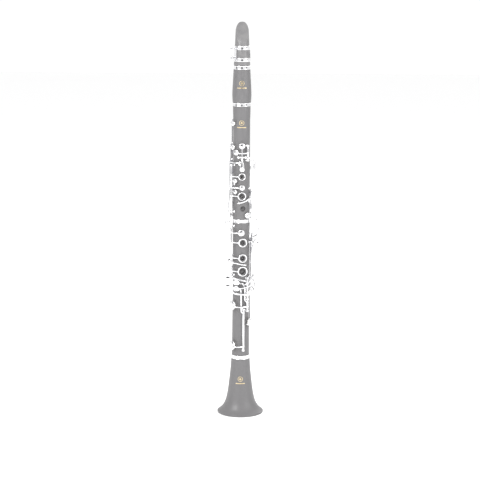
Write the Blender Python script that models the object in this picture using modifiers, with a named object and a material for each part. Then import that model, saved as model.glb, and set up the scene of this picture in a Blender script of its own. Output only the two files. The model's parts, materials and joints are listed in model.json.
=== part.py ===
"""A B-flat clarinet standing on the rim of its bell, with the whole of its keywork on hinge rods.

The axis of the bore is the Z axis, the bell's rim rests on Z = 0 and the finger holes face -Y.
Lengths in this script are millimetres and angles are degrees until MM turns them into metres.
A place on the body is an angle round the axis (0 at the front, positive to the +X side),
a distance from the axis and a height.
"""

import math

import bmesh
import bpy
from mathutils import Matrix, Vector

MM = 0.001

# Heights of the five sections
BELL_TOP = 102.0
LOWER_TOP = 337.7
UPPER_BOTTOM = 338.0
UPPER_TOP = 528.0
BARREL_BOTTOM = 528.3
BARREL_TOP = 596.0
MOUTHPIECE_SHOULDER = 596.3
MOUTHPIECE_TIP = 668.0

# Bore, sockets and tenons
GAP = 0.3
BORE_RADIUS = 7.4
SOCKET_RADIUS = 11.9
TENON_RADIUS = 11.6
CORK_BED_RADIUS = 10.6
BELL_SOCKET_RADIUS = 13.1
BELL_TENON_RADIUS = 12.8
BELL_CORK_BED_RADIUS = 11.8
TENON_FLANGE = 2.3

# Lines of finger holes
UPPER_LINE = 3.0
LOWER_LINE = 9.0

# Keywork
TUBE_RADIUS = 1.8
TUBE_BORE = 1.3
ROD_RADIUS = 1.0
SIDE_TUBE_RADIUS = 1.5
SIDE_TUBE_BORE = 1.1
SIDE_ROD_RADIUS = 0.8
POST_RADIUS = 1.3
POST_HEAD_RADIUS = 2.4
POST_HALF_WIDTH = 1.6
ARM_RADIUS = 0.9
TOUCH_THICKNESS = 1.5
CUP_HEIGHT = 3.6
PAD_SHOWING = 1.0
CUP_WALL = 0.5
SEAT_HEIGHT = 1.15
RING_INNER_FACE = 17.6
RING_THICKNESS = 1.6
CHIMNEY_TOP = 17.3

# Round work
BODY_STEPS = 24
BELL_STEPS = 32
RING_STEPS = 14
CUP_STEPS = 12
TUBE_SIDES = 8
HOLE_SIDES = 10
CORK_STEPS = 18

# Hinge lines as (angle, distance from the bore's axis)
STACK = (-56.0, 20.2)
THUMB = (128.0, 18.6)
RIGHT = (66.0, 18.4)
GSHARP = (36.0, 18.2)
SIDE = {"eflat": (-86.0, 19.4), "fsharp": (-99.0, 19.4), "b": (-112.0, 19.4), "c": (-125.0, 19.4)}
LOWER_CROSS = (-105.0, 19.0)
E_ROD = (15.0, 18.4)
FSHARP_ROD = (37.0, 18.4)
F_ROD = (118.0, 18.4)
LEFT_E_ROD = (94.0, 18.6)
LEFT_FSHARP_ROD = (70.0, 18.6)


def collection(name, parent):
    made = bpy.data.collections.new(name)
    parent.children.link(made)
    return made


for old in list(bpy.data.objects):
    bpy.data.objects.remove(old, do_unlink=True)
PARTS = collection("clarinet", bpy.context.scene.collection)
CUTTERS = collection("clarinet_cutters", bpy.context.scene.collection)


def material(name, colour, metallic, roughness):
    made = bpy.data.materials.new(name)
    made.use_nodes = True
    shader = made.node_tree.nodes["Principled BSDF"]
    shader.inputs["Base Color"].default_value = (*colour, 1.0)
    shader.inputs["Metallic"].default_value = metallic
    shader.inputs["Roughness"].default_value = roughness
    return made


EBONITE = material("ebonite", (0.1, 0.1, 0.1), 0.0, 0.35)
BLACK_PLASTIC = material("mouthpiece_ebonite", (0.02, 0.02, 0.02), 0.0, 0.2)
SILVER = material("silver_plate", (0.85, 0.85, 0.86), 1.0, 0.15)
STEEL = material("rod_steel", (0.6, 0.6, 0.62), 1.0, 0.3)
CORK = material("cork", (0.62, 0.42, 0.24), 0.0, 0.9)
CANE = material("cane", (0.85, 0.72, 0.42), 0.0, 0.6)
PAD_SKIN = material("pad_skin", (0.9, 0.86, 0.75), 0.0, 0.7)


def radial(angle):
    turn = math.radians(angle)
    return Vector((math.sin(turn), -math.cos(turn), 0.0))


def tangent(angle):
    turn = math.radians(angle)
    return Vector((math.cos(turn), math.sin(turn), 0.0))


def at(angle, distance, height):
    return radial(angle) * (distance * MM) + Vector((0.0, 0.0, height * MM))


def facing(angle, distance, height):
    """A frame on the body: X runs round it, Y up it and Z out of it."""
    frame = Matrix((tangent(angle), (0.0, 0.0, 1.0), radial(angle))).transposed().to_4x4()
    frame.translation = at(angle, distance, height)
    return frame


def add_object(name, mesh, where, finish=None):
    made = bpy.data.objects.new(name, mesh)
    where.objects.link(made)
    if finish:
        mesh.materials.append(finish)
    else:
        made.hide_render = True
        made.display_type = "WIRE"
    return made


def shade_smooth(obj):
    for polygon in obj.data.polygons:
        polygon.use_smooth = True


def turned(name, profile, steps, where, finish=None, frame=None, closed=False):
    """A profile of (radius, height) points, outer side from the top down, turned about local Z."""
    mesh = bpy.data.meshes.new(name)
    points = [(radius * MM, 0.0, height * MM) for radius, height in profile]
    edges = [(i, i + 1) for i in range(len(points) - 1)]
    if closed:
        edges.append((len(points) - 1, 0))
    mesh.from_pydata(points, edges, [])
    made = add_object(name, mesh, where, finish)
    if frame:
        made.matrix_world = frame
    screw = made.modifiers.new("turn", "SCREW")
    screw.axis = "Z"
    screw.steps = steps
    screw.render_steps = steps
    screw.use_merge_vertices = True
    screw.merge_threshold = 0.00001
    screw.use_smooth_shade = True
    return made


def cylinder(name, start, end, radius, sides, where, finish=None, origin=None, end_radius=None):
    """A closed cylinder or cone between two points in metres, its radii in millimetres."""
    length = (end - start).length
    bm = bmesh.new()
    bmesh.ops.create_cone(
        bm,
        cap_ends=True,
        segments=sides,
        radius1=radius * MM,
        radius2=(end_radius or radius) * MM,
        depth=length,
    )
    turn = (end - start).to_track_quat("Z", "Y").to_matrix().to_4x4()
    centre = (start + end) / 2 - (origin or Vector())
    bmesh.ops.transform(bm, matrix=Matrix.Translation(centre) @ turn, verts=bm.verts)
    mesh = bpy.data.meshes.new(name)
    bm.to_mesh(mesh)
    bm.free()
    made = add_object(name, mesh, where, finish)
    made.location = origin or Vector()
    if finish:
        shade_smooth(made)
    return made


def box(name, size, frame, where):
    bm = bmesh.new()
    bmesh.ops.create_cube(bm, size=1.0)
    bmesh.ops.scale(bm, vec=Vector(size) * MM, verts=bm.verts)
    mesh = bpy.data.meshes.new(name)
    bm.to_mesh(mesh)
    bm.free()
    made = add_object(name, mesh, where)
    made.matrix_world = frame
    return made


def mesh_from_curve(name, curve, where):
    """The curve's solid as a mesh whose caps are welded to its sides."""
    holder = bpy.data.objects.new(name + "_path", curve)
    where.objects.link(holder)
    bpy.context.view_layer.update()
    mesh = bpy.data.meshes.new_from_object(holder.evaluated_get(bpy.context.evaluated_depsgraph_get()))
    bpy.data.objects.remove(holder, do_unlink=True)
    mesh.name = name
    bm = bmesh.new()
    bm.from_mesh(mesh)
    bmesh.ops.remove_doubles(bm, verts=bm.verts, dist=0.000001)
    bmesh.ops.recalc_face_normals(bm, faces=bm.faces)
    bm.to_mesh(mesh)
    bm.free()
    return mesh


def round_the_body(stops, largest_turn=20.0):
    """Points of a path through (angle, distance, height) stops that follows the body's curve."""
    points = [at(*stops[0])]
    for first, second in zip(stops, stops[1:]):
        count = max(1, math.ceil(abs(second[0] - first[0]) / largest_turn))
        for i in range(1, count + 1):
            part = i / count
            points.append(at(*(a + (b - a) * part for a, b in zip(first, second))))
    return points


def across(angle, level, height, *offsets):
    """Stops of a straight run over a cup whose top lies at level, at angles away from its middle."""
    return [(angle + off, level / math.cos(math.radians(off)), height) for off in offsets]


def arm(name, stops, where, radius=ARM_RADIUS, straight=False):
    """A round arm along a path of (angle, distance, height) stops."""
    points = [at(*stop) for stop in stops] if straight else round_the_body(stops)
    curve = bpy.data.curves.new(name, "CURVE")
    curve.dimensions = "3D"
    curve.bevel_depth = radius * MM
    curve.bevel_resolution = 1
    curve.use_fill_caps = True
    spline = curve.splines.new("POLY")
    spline.points.add(len(points) - 1)
    for point, place in zip(spline.points, points):
        point.co = (*place, 1.0)
    return add_object(name, mesh_from_curve(name, curve, where), where)


def touch(name, angle, distance, height, length, width, where, taper=0.0, lean=0.0, turn=0.0):
    """A finger plate lying on the body's frame, long way up it, narrower at the top by taper.

    It faces turn degrees further round than its place does.
    """
    outline = []
    for top in (True, False):
        radius = width / 2 * (1.0 - taper if top else 1.0)
        centre = length / 2 - radius if top else -(length / 2 - radius)
        first = 0.0 if top else math.pi
        for i in range(5):
            around = first + math.pi * i / 4
            outline.append((radius * math.cos(around), centre + radius * math.sin(around)))
    curve = bpy.data.curves.new(name, "CURVE")
    curve.dimensions = "2D"
    curve.fill_mode = "BOTH"
    curve.extrude = TOUCH_THICKNESS / 2 * MM
    spline = curve.splines.new("POLY")
    spline.points.add(len(outline) - 1)
    spline.use_cyclic_u = True
    for point, (x, y) in zip(spline.points, outline):
        point.co = (x * MM, y * MM, 0.0, 1.0)
    made = add_object(name, mesh_from_curve(name, curve, where), where)
    made.matrix_world = (
        facing(angle, distance, height)
        @ Matrix.Rotation(math.radians(turn), 4, "Y")
        @ Matrix.Rotation(math.radians(lean), 4, "Z")
    )
    return made


def finger_ring(name, angle, height, inner, outer, where):
    top = RING_THICKNESS
    profile = [(inner, top), (outer - 0.3, top), (outer, top - 0.5), (outer, 0.0), (inner, 0.0)]
    return turned(
        name, profile, RING_STEPS, where, frame=facing(angle, RING_INNER_FACE, height), closed=True
    )


def pad_cup(name, angle, height, radius, base, where, pad_name=None):
    """A key cup over its hole. Its pad is a part of its own when pad_name is given, or else one with it."""
    top = CUP_HEIGHT
    frame = facing(angle, base, height)
    profile = [(0.0, top), (radius * 0.55, top - 0.1), (radius, top - 1.1), (radius, PAD_SHOWING)]
    pad_radius = radius - CUP_WALL - GAP
    if not pad_name:
        profile += [(pad_radius, PAD_SHOWING), (pad_radius, 0.0), (0.0, 0.0)]
        return turned(name, profile, CUP_STEPS, where, frame=frame)
    ceiling = PAD_SHOWING + 1.2
    inner = radius - CUP_WALL
    profile += [(inner, PAD_SHOWING), (inner, ceiling), (0.0, ceiling)]
    turned(name, profile, CUP_STEPS, where, frame=frame)
    pad = [(0.0, ceiling - GAP), (pad_radius, ceiling - GAP), (pad_radius, 0.3), (pad_radius - 0.3, 0.0)]
    return turned(pad_name, [*pad, (0.0, 0.0)], CUP_STEPS, PARTS, PAD_SKIN, frame)


def join(obj, shapes):
    union = obj.modifiers.new("join", "BOOLEAN")
    union.operation = "UNION"
    union.solver = "EXACT"
    union.operand_type = "COLLECTION"
    union.collection = shapes


def cut(obj, cutter):
    difference = obj.modifiers.new("cut", "BOOLEAN")
    difference.operation = "DIFFERENCE"
    difference.solver = "EXACT"
    if isinstance(cutter, bpy.types.Collection):
        difference.operand_type = "COLLECTION"
        difference.collection = cutter
    else:
        difference.object = cutter


def key(name, start, end, shapes, pad=None, tube_radius=TUBE_RADIUS, tube_bore=TUBE_BORE):
    """A key: its hinge tube from start to end joined with its other shapes and bored for the rod."""
    pivot = (start + end) / 2
    along = (end - start).normalized() * 2 * MM
    made = cylinder(name, start, end, tube_radius, TUBE_SIDES, PARTS, SILVER, pivot)
    join(made, shapes)
    cut(made, cylinder(name + "_bore", start - along, end + along, tube_bore, TUBE_SIDES, CUTTERS))
    if pad:
        pad.parent = made
        pad.matrix_parent_inverse = Matrix.Translation(-pivot)


def upright_key(name, hinge, bottom, top, shapes, **sizes):
    key(name, at(*hinge, bottom), at(*hinge, top), shapes, **sizes)


def shapes_of(name):
    return collection(name + "_shapes", CUTTERS)


def body_radius(height):
    """Radius of the two joints' outer surface."""
    if height > 505.0:
        return 14.25 + 0.45 * (height - 505.0) / 23.0
    if height > UPPER_BOTTOM:
        return 14.25
    if height > 312.0:
        return 14.7
    if height > 200.0:
        return 14.2
    return 14.2 + 0.7 * (200.0 - height) / 90.0


def seat_top(height):
    return body_radius(height) + SEAT_HEIGHT


def axle(name, rods, posts, saddle=None, rod_radius=ROD_RADIUS, head_radius=POST_HEAD_RADIUS):
    """Hinge rods on their posts: rods as (hinge, bottom, top), posts as (hinge, height).

    A saddle is a height where one curved bar ties all the rods together.
    """
    shapes = shapes_of(name)
    for i, (hinge, height) in enumerate(posts):
        foot = at(hinge[0], body_radius(height) + GAP, height)
        label = f"{name}_post_{i}"
        cylinder(label, foot, at(*hinge, height), POST_RADIUS, TUBE_SIDES, shapes)
        low = at(*hinge, height - POST_HALF_WIDTH)
        high = at(*hinge, height + POST_HALF_WIDTH)
        cylinder(label + "_head", low, high, head_radius, TUBE_SIDES, shapes)
    if saddle:
        stops = [(*hinge, saddle) for hinge, _, _ in rods]
        arm(name + "_saddle", stops, shapes, POST_RADIUS)
    for i, (hinge, bottom, top) in enumerate(rods[1:]):
        cylinder(f"{name}_rod_{i}", at(*hinge, bottom), at(*hinge, top), rod_radius, TUBE_SIDES, shapes)
    hinge, bottom, top = rods[0]
    made = cylinder(name, at(*hinge, bottom), at(*hinge, top), rod_radius, TUBE_SIDES, PARTS, STEEL)
    join(made, shapes)


def cross_axle(name, angle, distance, height, half_length, surface):
    """A hinge rod lying across the body between two posts."""
    shapes = shapes_of(name)
    middle = at(angle, distance, height)
    side = tangent(angle) * MM
    up = radial(angle) * MM
    foot = math.sqrt(surface**2 - (half_length - POST_RADIUS) ** 2) + GAP - distance
    for label, way in (("left", -1.0), ("right", 1.0)):
        head = middle + side * (way * half_length)
        cylinder(f"{name}_{label}", head + up * foot, head, POST_RADIUS, TUBE_SIDES, shapes)
        inner = head - side * POST_HALF_WIDTH
        outer = head + side * POST_HALF_WIDTH
        cylinder(f"{name}_{label}_head", inner, outer, POST_HEAD_RADIUS, TUBE_SIDES, shapes)
    reach = side * (half_length + POST_HALF_WIDTH - 0.3)
    made = cylinder(name, middle - reach, middle + reach, ROD_RADIUS, TUBE_SIDES, PARTS, STEEL)
    join(made, shapes)


# Body sections


def tenon(radius, bed, top, bottom):
    """Outer points of a tenon from its top down, with a bed for its cork."""
    return [
        (radius, top),
        (radius, top - TENON_FLANGE),
        (bed, top - TENON_FLANGE),
        (bed, bottom + TENON_FLANGE),
        (radius, bottom + TENON_FLANGE),
        (radius, bottom),
    ]


def cork(name, bed, outer, top, bottom):
    low = bottom + TENON_FLANGE + GAP
    high = top - TENON_FLANGE - GAP
    inner = bed + GAP
    profile = [(inner, high), (outer, high), (outer, low), (inner, low)]
    turned(name, profile, CORK_STEPS, PARTS, CORK, closed=True)


def metal_ring(name, inner, outer, top, bottom):
    edge = 0.5
    profile = [(inner, top), (outer - edge, top), (outer, top - edge), (outer, bottom), (inner, bottom)]
    turned(name, profile, BODY_STEPS, PARTS, SILVER, closed=True)


def smooth_curve(points, per_span):
    """Catmull-Rom points through (radius, height) points."""
    made = []
    padded = [points[0]] + points + [points[-1]]
    for a, b, c, d in zip(padded, padded[1:], padded[2:], padded[3:]):
        for i in range(per_span):
            t = i / per_span
            made.append(
                tuple(
                    0.5 * (2 * q + (r - p) * t + (2 * p - 5 * q + 4 * r - s) * t * t
                           + (3 * q - p - 3 * r + s) * t**3)
                    for p, q, r, s in zip(a, b, c, d)
                )
            )
    return made + [points[-1]]


def build_bell():
    flare = [(16.1, 92.0), (17.3, 76.0), (19.5, 55.0), (22.4, 34.0), (26.2, 19.0), (31.5, 9.5), (38.0, 3.6)]
    hollow = [(36.6, 0.0), (35.6, 3.2), (29.0, 9.6), (23.2, 19.5), (18.8, 35.0), (15.4, 55.0), (11.6, 83.7)]
    outer = [(14.3, BELL_TOP), (14.3, 94.8), (16.0, 94.8)] + smooth_curve(flare, 2)
    outer += [(39.2, 2.6), (39.3, 1.2), (38.6, 0.0)]
    socket = [(BELL_SOCKET_RADIUS, 83.7), (BELL_SOCKET_RADIUS, BELL_TOP)]
    turned("bell", outer + smooth_curve(hollow, 1) + socket, BELL_STEPS, PARTS, EBONITE, closed=True)
    metal_ring("bell_ring", 14.6, 15.8, 101.9, 95.1)


def hole_cutters(name, holes):
    """Cylinders through the wall at (angle, height, hole radius)."""
    group = shapes_of(name + "_holes")
    for i, (angle, height, radius) in enumerate(holes):
        start = at(angle, 4.0, height)
        cylinder(f"{name}_hole_{i}", start, at(angle, 21.0, height), radius, HOLE_SIDES, group)
    return group


def collars(name, places):
    """Raised seats and chimneys at (angle, height, outer radius, top)."""
    group = shapes_of(name + "_collars")
    for i, (angle, height, radius, top) in enumerate(places):
        start = at(angle, 9.5, height)
        cylinder(f"{name}_collar_{i}", start, at(angle, top, height), radius, HOLE_SIDES, group)
    return group


def seats(pads):
    """Seat and hole sizes under cups given as (angle, height, cup radius)."""
    raised = [(angle, height, radius * 0.78, seat_top(height)) for angle, height, radius in pads]
    holes = [(angle, height, radius * 0.52) for angle, height, radius in pads]
    return raised, holes


UPPER_PADS = [
    (180.0, 505.0, 4.4),
    (UPPER_LINE, 462.7, 5.0),
    (-31.0, 451.6, 4.7),
    (-57.0, 500.0, 4.4),
    (-57.0, 460.0, 4.4),
    (-5.0, 433.0, 4.0),
    (-36.0, 385.0, 3.9),
    (-36.0, 403.5, 4.0),
    (4.0, 392.4, 4.6),
    (112.0, 382.0, 4.0),
    (38.0, 344.9, 4.9),
]
UPPER_CHIMNEYS = [(UPPER_LINE, 411.0, 3.6), (UPPER_LINE, 378.0, 4.6), (180.0, 420.0, 4.1)]
THIRD_HOLE = (12.0, 356.0, 4.0)
LOWER_PADS = [
    (1.0, 315.7, 5.5),
    (-140.0, 263.0, 4.2),
    (72.0, 213.0, 5.2),
    (-50.0, 190.0, 8.2),
    (58.0, 160.0, 7.6),
    (-50.0, 120.0, 8.2),
]
LOWER_CHIMNEYS = [(LOWER_LINE, 298.6, 4.4), (LOWER_LINE, 272.0, 4.4), (LOWER_LINE, 249.4, 5.5)]


def build_joint(name, profile, pads, chimneys, plain_holes):
    raised, holes = seats(pads)
    raised += [(angle, height, radius, CHIMNEY_TOP) for angle, height, radius in chimneys]
    holes += [(angle, height, radius - 1.0) for angle, height, radius in chimneys]
    holes += plain_holes
    made = turned(name, profile, BODY_STEPS, PARTS, EBONITE, closed=True)
    join(made, collars(name, raised))
    cut(made, hole_cutters(name, holes))


def build_sections():
    build_bell()
    lower = [(SOCKET_RADIUS, LOWER_TOP), (13.1, LOWER_TOP), (13.1, 331.3), (14.7, 331.3), (14.7, 322.0)]
    lower += [(14.2, 312.0), (14.2, 200.0), (14.9, 110.0), (15.0, BELL_TOP + GAP)]
    lower += tenon(BELL_TENON_RADIUS, BELL_CORK_BED_RADIUS, BELL_TOP + GAP, 84.2)
    lower += [(10.2, 84.2), (BORE_RADIUS, 200.0), (BORE_RADIUS, 321.6), (SOCKET_RADIUS, 321.6)]
    build_joint("lower_joint", lower, LOWER_PADS, LOWER_CHIMNEYS, [])
    cork("bell_tenon_cork", BELL_CORK_BED_RADIUS, BELL_TENON_RADIUS, BELL_TOP + GAP, 84.2)
    metal_ring("lower_joint_ring", 13.4, 15.0, 337.6, 331.6)

    upper = [(BORE_RADIUS, 544.7)]
    upper += tenon(TENON_RADIUS, CORK_BED_RADIUS, 544.7, UPPER_TOP)
    upper += [(14.7, UPPER_TOP), (14.7, 520.0), (14.25, 505.0), (14.25, UPPER_BOTTOM)]
    upper += tenon(TENON_RADIUS, CORK_BED_RADIUS, UPPER_BOTTOM, 322.0)
    upper += [(BORE_RADIUS, 322.0)]
    build_joint("upper_joint", upper, UPPER_PADS, UPPER_CHIMNEYS, [THIRD_HOLE])
    cork("middle_tenon_cork", CORK_BED_RADIUS, TENON_RADIUS, UPPER_BOTTOM, 322.0)
    cork("top_tenon_cork", CORK_BED_RADIUS, TENON_RADIUS, 544.7, UPPER_TOP)

    belly = [(14.15, 589.2), (14.4, 582.0), (15.45, 562.0), (16.05, 549.0), (15.8, 541.0), (15.3, 534.3)]
    barrel = [(SOCKET_RADIUS, BARREL_TOP), (12.7, BARREL_TOP), (12.7, 589.2)] + smooth_curve(belly, 1)
    barrel += [(13.3, 534.3), (13.3, BARREL_BOTTOM), (SOCKET_RADIUS, BARREL_BOTTOM)]
    barrel += [(SOCKET_RADIUS, 545.0), (BORE_RADIUS, 545.0), (BORE_RADIUS, 579.0), (SOCKET_RADIUS, 579.0)]
    turned("barrel", barrel, BODY_STEPS, PARTS, EBONITE, closed=True)
    metal_ring("barrel_upper_ring", 13.0, 14.35, 595.9, 589.5)
    metal_ring("barrel_lower_ring", 13.6, 15.5, 534.0, 528.4)


def mouthpiece_radius(height):
    return 13.4 - (height - 602.0) * 1.3 / 27.0


def build_mouthpiece():
    body = [(0.0, MOUTHPIECE_TIP), (10.2, MOUTHPIECE_TIP), (11.4, 645.0), (mouthpiece_radius(629.0), 629.0)]
    body += [(mouthpiece_radius(602.0), 602.0), (13.8, 598.6), (13.6, MOUTHPIECE_SHOULDER)]
    body += tenon(TENON_RADIUS, CORK_BED_RADIUS, MOUTHPIECE_SHOULDER, 579.3)
    body += [(0.0, 579.3)]
    made = turned("mouthpiece", body, BODY_STEPS, PARTS, BLACK_PLASTIC)
    cork("mouthpiece_cork", CORK_BED_RADIUS, TENON_RADIUS, MOUTHPIECE_SHOULDER, 579.3)
    cutters = shapes_of("mouthpiece")
    slope = math.atan2(21.5, 36.5)
    beak = Matrix.Translation(Vector((0.0, 9.0, MOUTHPIECE_TIP)) * MM) @ Matrix.Rotation(-slope, 4, "X")
    box("beak", (60.0, 60.0, 140.0), beak @ Matrix.Translation(Vector((0.0, -30.0, 0.0)) * MM), cutters)
    table = Matrix.Translation(Vector((0.0, 30.2, 660.0)) * MM)
    box("table", (60.0, 40.0, 120.0), table, cutters)
    low = Vector((0.0, 0.0, 570.0 * MM))
    high = Vector((0.0, 0.0, 634.0 * MM))
    cylinder("mouthpiece_bore", low, high, BORE_RADIUS, 20, cutters, end_radius=5.6)
    window = beak @ Matrix.Translation(Vector((0.0, 12.8, -19.0)) * MM)
    box("window", (10.4, 20.0, 30.0), window, cutters)
    cut(made, cutters)

    blade = [(0.0, 667.6), (12.2, 667.6)]
    blade += [(mouthpiece_radius(height) - 0.1, height) for height in (629.0, 601.5)]
    blade += [(0.0, 601.5)]
    reed = turned("reed", blade, BODY_STEPS, PARTS, CANE)
    around = shapes_of("reed")
    front = Matrix.Translation(Vector((0.0, -19.5, 635.0)) * MM)
    box("reed_flat", (60.0, 60.0, 120.0), front, around)
    for label, way in (("left", -1.0), ("right", 1.0)):
        side = Matrix.Translation(Vector((way * 26.4, 10.0, 635.0)) * MM)
        box("reed_" + label, (40.0, 60.0, 120.0), side, around)
    vamp = Matrix.Translation(Vector((0.0, 11.0, MOUTHPIECE_TIP)) * MM) @ Matrix.Rotation(
        math.radians(3.4), 4, "X"
    )
    box("reed_vamp", (60.0, 20.0, 84.0), vamp @ Matrix.Translation(Vector((0.0, 10.0, 0.0)) * MM), around)
    cut(reed, around)


LIGATURE_BOTTOM = 602.6
LIGATURE_TOP = 628.6
SCREW_HEIGHTS = (("upper", 624.6), ("lower", 608.6))
SCREW_X = -17.2
LUG_REACH = 19.4


def build_ligature():
    wall = 0.7
    low = mouthpiece_radius(LIGATURE_BOTTOM) + 0.35
    high = mouthpiece_radius(LIGATURE_TOP) + 0.35
    band = [(high, LIGATURE_TOP), (high + wall, LIGATURE_TOP)]
    band += [(low + wall, LIGATURE_BOTTOM), (low, LIGATURE_BOTTOM)]
    made = turned("ligature", band, BODY_STEPS, PARTS, SILVER, closed=True)
    lugs = shapes_of("ligature_lugs")
    cutters = shapes_of("ligature")
    for label, height in SCREW_HEIGHTS:
        root = mouthpiece_radius(height) + 0.45
        for side, y in (("front", -2.4), ("back", 2.4)):
            frame = Matrix.Translation(Vector((-(LUG_REACH + root) / 2, y, height)) * MM)
            box(f"lug_{label}_{side}", (LUG_REACH - root, 3.0, 6.0), frame, lugs)
        start = Vector((SCREW_X, -8.0, height)) * MM
        end = Vector((SCREW_X, 8.0, height)) * MM
        cylinder("screw_hole_" + label, start, end, 1.4, 10, cutters)
    join(made, lugs)
    slit = Matrix.Translation(Vector((-16.0, 0.0, 615.0)) * MM)
    box("slit", (12.0, 1.4, 60.0), slit, cutters)
    window = Matrix.Translation(Vector((6.7, -9.0, 615.2)) * MM)
    box("ligature_window", (32.0, 24.0, 13.4), window, cutters)
    cut(made, cutters)
    for label, height in SCREW_HEIGHTS:
        name = "ligature_screw_" + label
        centre = Vector((SCREW_X, 0.0, height)) * MM
        end = centre + Vector((0.0, 6.5, 0.0)) * MM
        start = centre - Vector((0.0, 9.0, 0.0)) * MM
        shank = cylinder(name, start, end, 1.0, 10, PARTS, SILVER, centre)
        parts = shapes_of(name)
        collar = centre - Vector((0.0, 4.4, 0.0)) * MM
        cylinder(name + "_collar", collar - Vector((0.0, 3.0, 0.0)) * MM, collar, 2.0, 10, parts)
        grip = Matrix.Translation(centre - Vector((0.0, 10.2, 0.0)) * MM)
        box(name + "_grip", (2.0, 6.6, 8.6), grip, parts)
        join(shank, parts)


def build_thumb_rest():
    shapes = shapes_of("thumb_rest")
    height = 262.0
    inner = body_radius(height) + GAP + 0.1
    plate = [(inner + 1.6, height + 11.0), (inner + 1.6, height - 11.0)]
    plate += [(inner, height - 11.0), (inner, height + 11.0)]
    made = turned("thumb_rest", plate, 48, PARTS, SILVER, closed=True)
    for label, way in (("left", -1.0), ("right", 1.0)):
        side = Matrix.Translation(Vector((way * 35.0, 0.0, height)) * MM)
        box("thumb_rest_" + label, (60.0, 60.0, 40.0), side, shapes)
    front = Matrix.Translation(Vector((0.0, -20.0, height)) * MM)
    box("thumb_rest_front", (60.0, 40.0, 40.0), front, shapes)
    cut(made, shapes)
    hook = shapes_of("thumb_rest_hook")
    frame = Matrix.Translation(Vector((0.0, inner + 7.0, height + 2.0)) * MM)
    box("hook_shelf", (9.6, 13.0, 2.6), frame, hook)
    frame = Matrix.Translation(Vector((0.0, inner + 12.6, height - 0.4)) * MM)
    box("hook_lip", (9.4, 2.4, 6.0), frame, hook)
    join(made, hook)


# Upper joint keywork


def side_keys():
    """The four long keys for the right hand's first finger, hinged side by side on the left."""
    pads = {
        "eflat": (-36.0, 385.0, 3.9),
        "fsharp": (-5.0, 433.0, 4.0),
        "b": (-57.0, 460.0, 4.4),
        "c": (-57.0, 500.0, 4.4),
    }
    paths = {
        "eflat": [(-86.0, 19.4), (-76.0, 17.2), (-66.0, 15.9), (-54.0, 15.8), (-40.0, 17.2)],
        "fsharp": [(-99.0, 19.4), (-80.0, 19.4), (-60.0, 19.0), (-40.0, 18.4), (-9.0, 18.0)],
        "b": [(-112.0, 19.4), (-98.0, 19.6), (-74.0, 19.2), (-58.0, 19.0)],
        "c": [(-125.0, 19.4), (-108.0, 19.6), (-74.0, 19.2), (-58.0, 19.0)],
    }
    paddles = {
        "eflat": (346.0, [(-90.0, 23.4, 344.5), (-96.0, 26.5, 338.0)], (-98.0, 27.5, 327.0)),
        "fsharp": (346.0, [(-106.0, 22.8, 344.5), (-116.0, 24.5, 338.0)], (-120.0, 25.0, 327.0)),
        "b": (350.0, [(-117.0, 23.0, 351.0), (-126.0, 26.0, 353.0)], (-128.0, 26.5, 358.0)),
        "c": (350.0, [(-133.0, 23.0, 351.0), (-146.0, 24.0, 353.0)], (-149.0, 24.5, 358.0)),
    }
    tops = {"eflat": 388.2, "fsharp": 436.4, "b": 463.2, "c": 503.2}
    for note, hinge in SIDE.items():
        name = f"side_{note}_key"
        shapes = shapes_of(name)
        angle, height, radius = pads[note]
        base = seat_top(height) + GAP
        pad_cup(name + "_cup", angle, height, radius, base, shapes)
        level = height + 1.2 if note == "fsharp" else height
        arm(name + "_arm", [(*stop, level) for stop in paths[note]], shapes, 0.8)
        start, path, plate = paddles[note]
        arm(name + "_lever", [(*hinge, start), *path, plate], shapes)
        touch(name + "_touch", *plate, 16.0, 7.0, shapes)
        upright_key(
            name, hinge, 343.2, tops[note], shapes, tube_radius=SIDE_TUBE_RADIUS, tube_bore=SIDE_TUBE_BORE
        )
    axle(
        "side_key_axles",
        [(hinge, 340.0, tops[note] + 3.2) for note, hinge in SIDE.items()],
        [(hinge, tops[note] + 1.9) for note, hinge in SIDE.items()]
        + [(SIDE["eflat"], 341.3), (SIDE["c"], 341.3)],
        saddle=341.3,
        rod_radius=SIDE_ROD_RADIUS,
        head_radius=2.0,
    )


def register_key():
    shapes = shapes_of("register_key")
    hinge = (180.0, 18.8, 462.0)
    stops = [(180.0, 19.9, 440.0), (180.0, 19.7, 448.0), hinge, (180.0, 18.6, 480.0), (180.0, 18.9, 505.0)]
    arm("register_lever", stops, shapes, 1.1)
    pad_cup("register_cup", 180.0, 505.0, 4.4, seat_top(505.0) + GAP, shapes)
    touch("register_touch", 180.0, 20.4, 438.2, 17.0, 8.4, shapes, taper=0.45)
    side = tangent(180.0) * (3.5 * MM)
    key("register_key", at(*hinge) - side, at(*hinge) + side, shapes)
    cross_axle("register_axle", *hinge, 5.4, body_radius(462.0))


def a_key():
    shapes = shapes_of("a_key")
    hinge = (UPPER_LINE, 19.4, 444.0)
    pivot = at(*hinge)
    stops = [(UPPER_LINE, 22.0, 430.0), (UPPER_LINE, 21.8, 437.0), hinge]
    stops += [(UPPER_LINE, 18.9, 454.0), (UPPER_LINE, 18.9, 462.7)]
    arm("a_lever", stops, shapes, 1.0)
    base = seat_top(462.7) + GAP
    pad = pad_cup("a_cup", UPPER_LINE, 462.7, 5.0, base, shapes, "a_pad")
    touch("a_touch", UPPER_LINE, 22.6, 428.8, 17.0, 9.4, shapes, taper=0.4)
    side = tangent(UPPER_LINE) * (4.1 * MM)
    key("a_key", pivot - side, pivot + side, shapes, pad)
    cross_axle("a_axle", *hinge, 6.0, body_radius(444.0))


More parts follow.
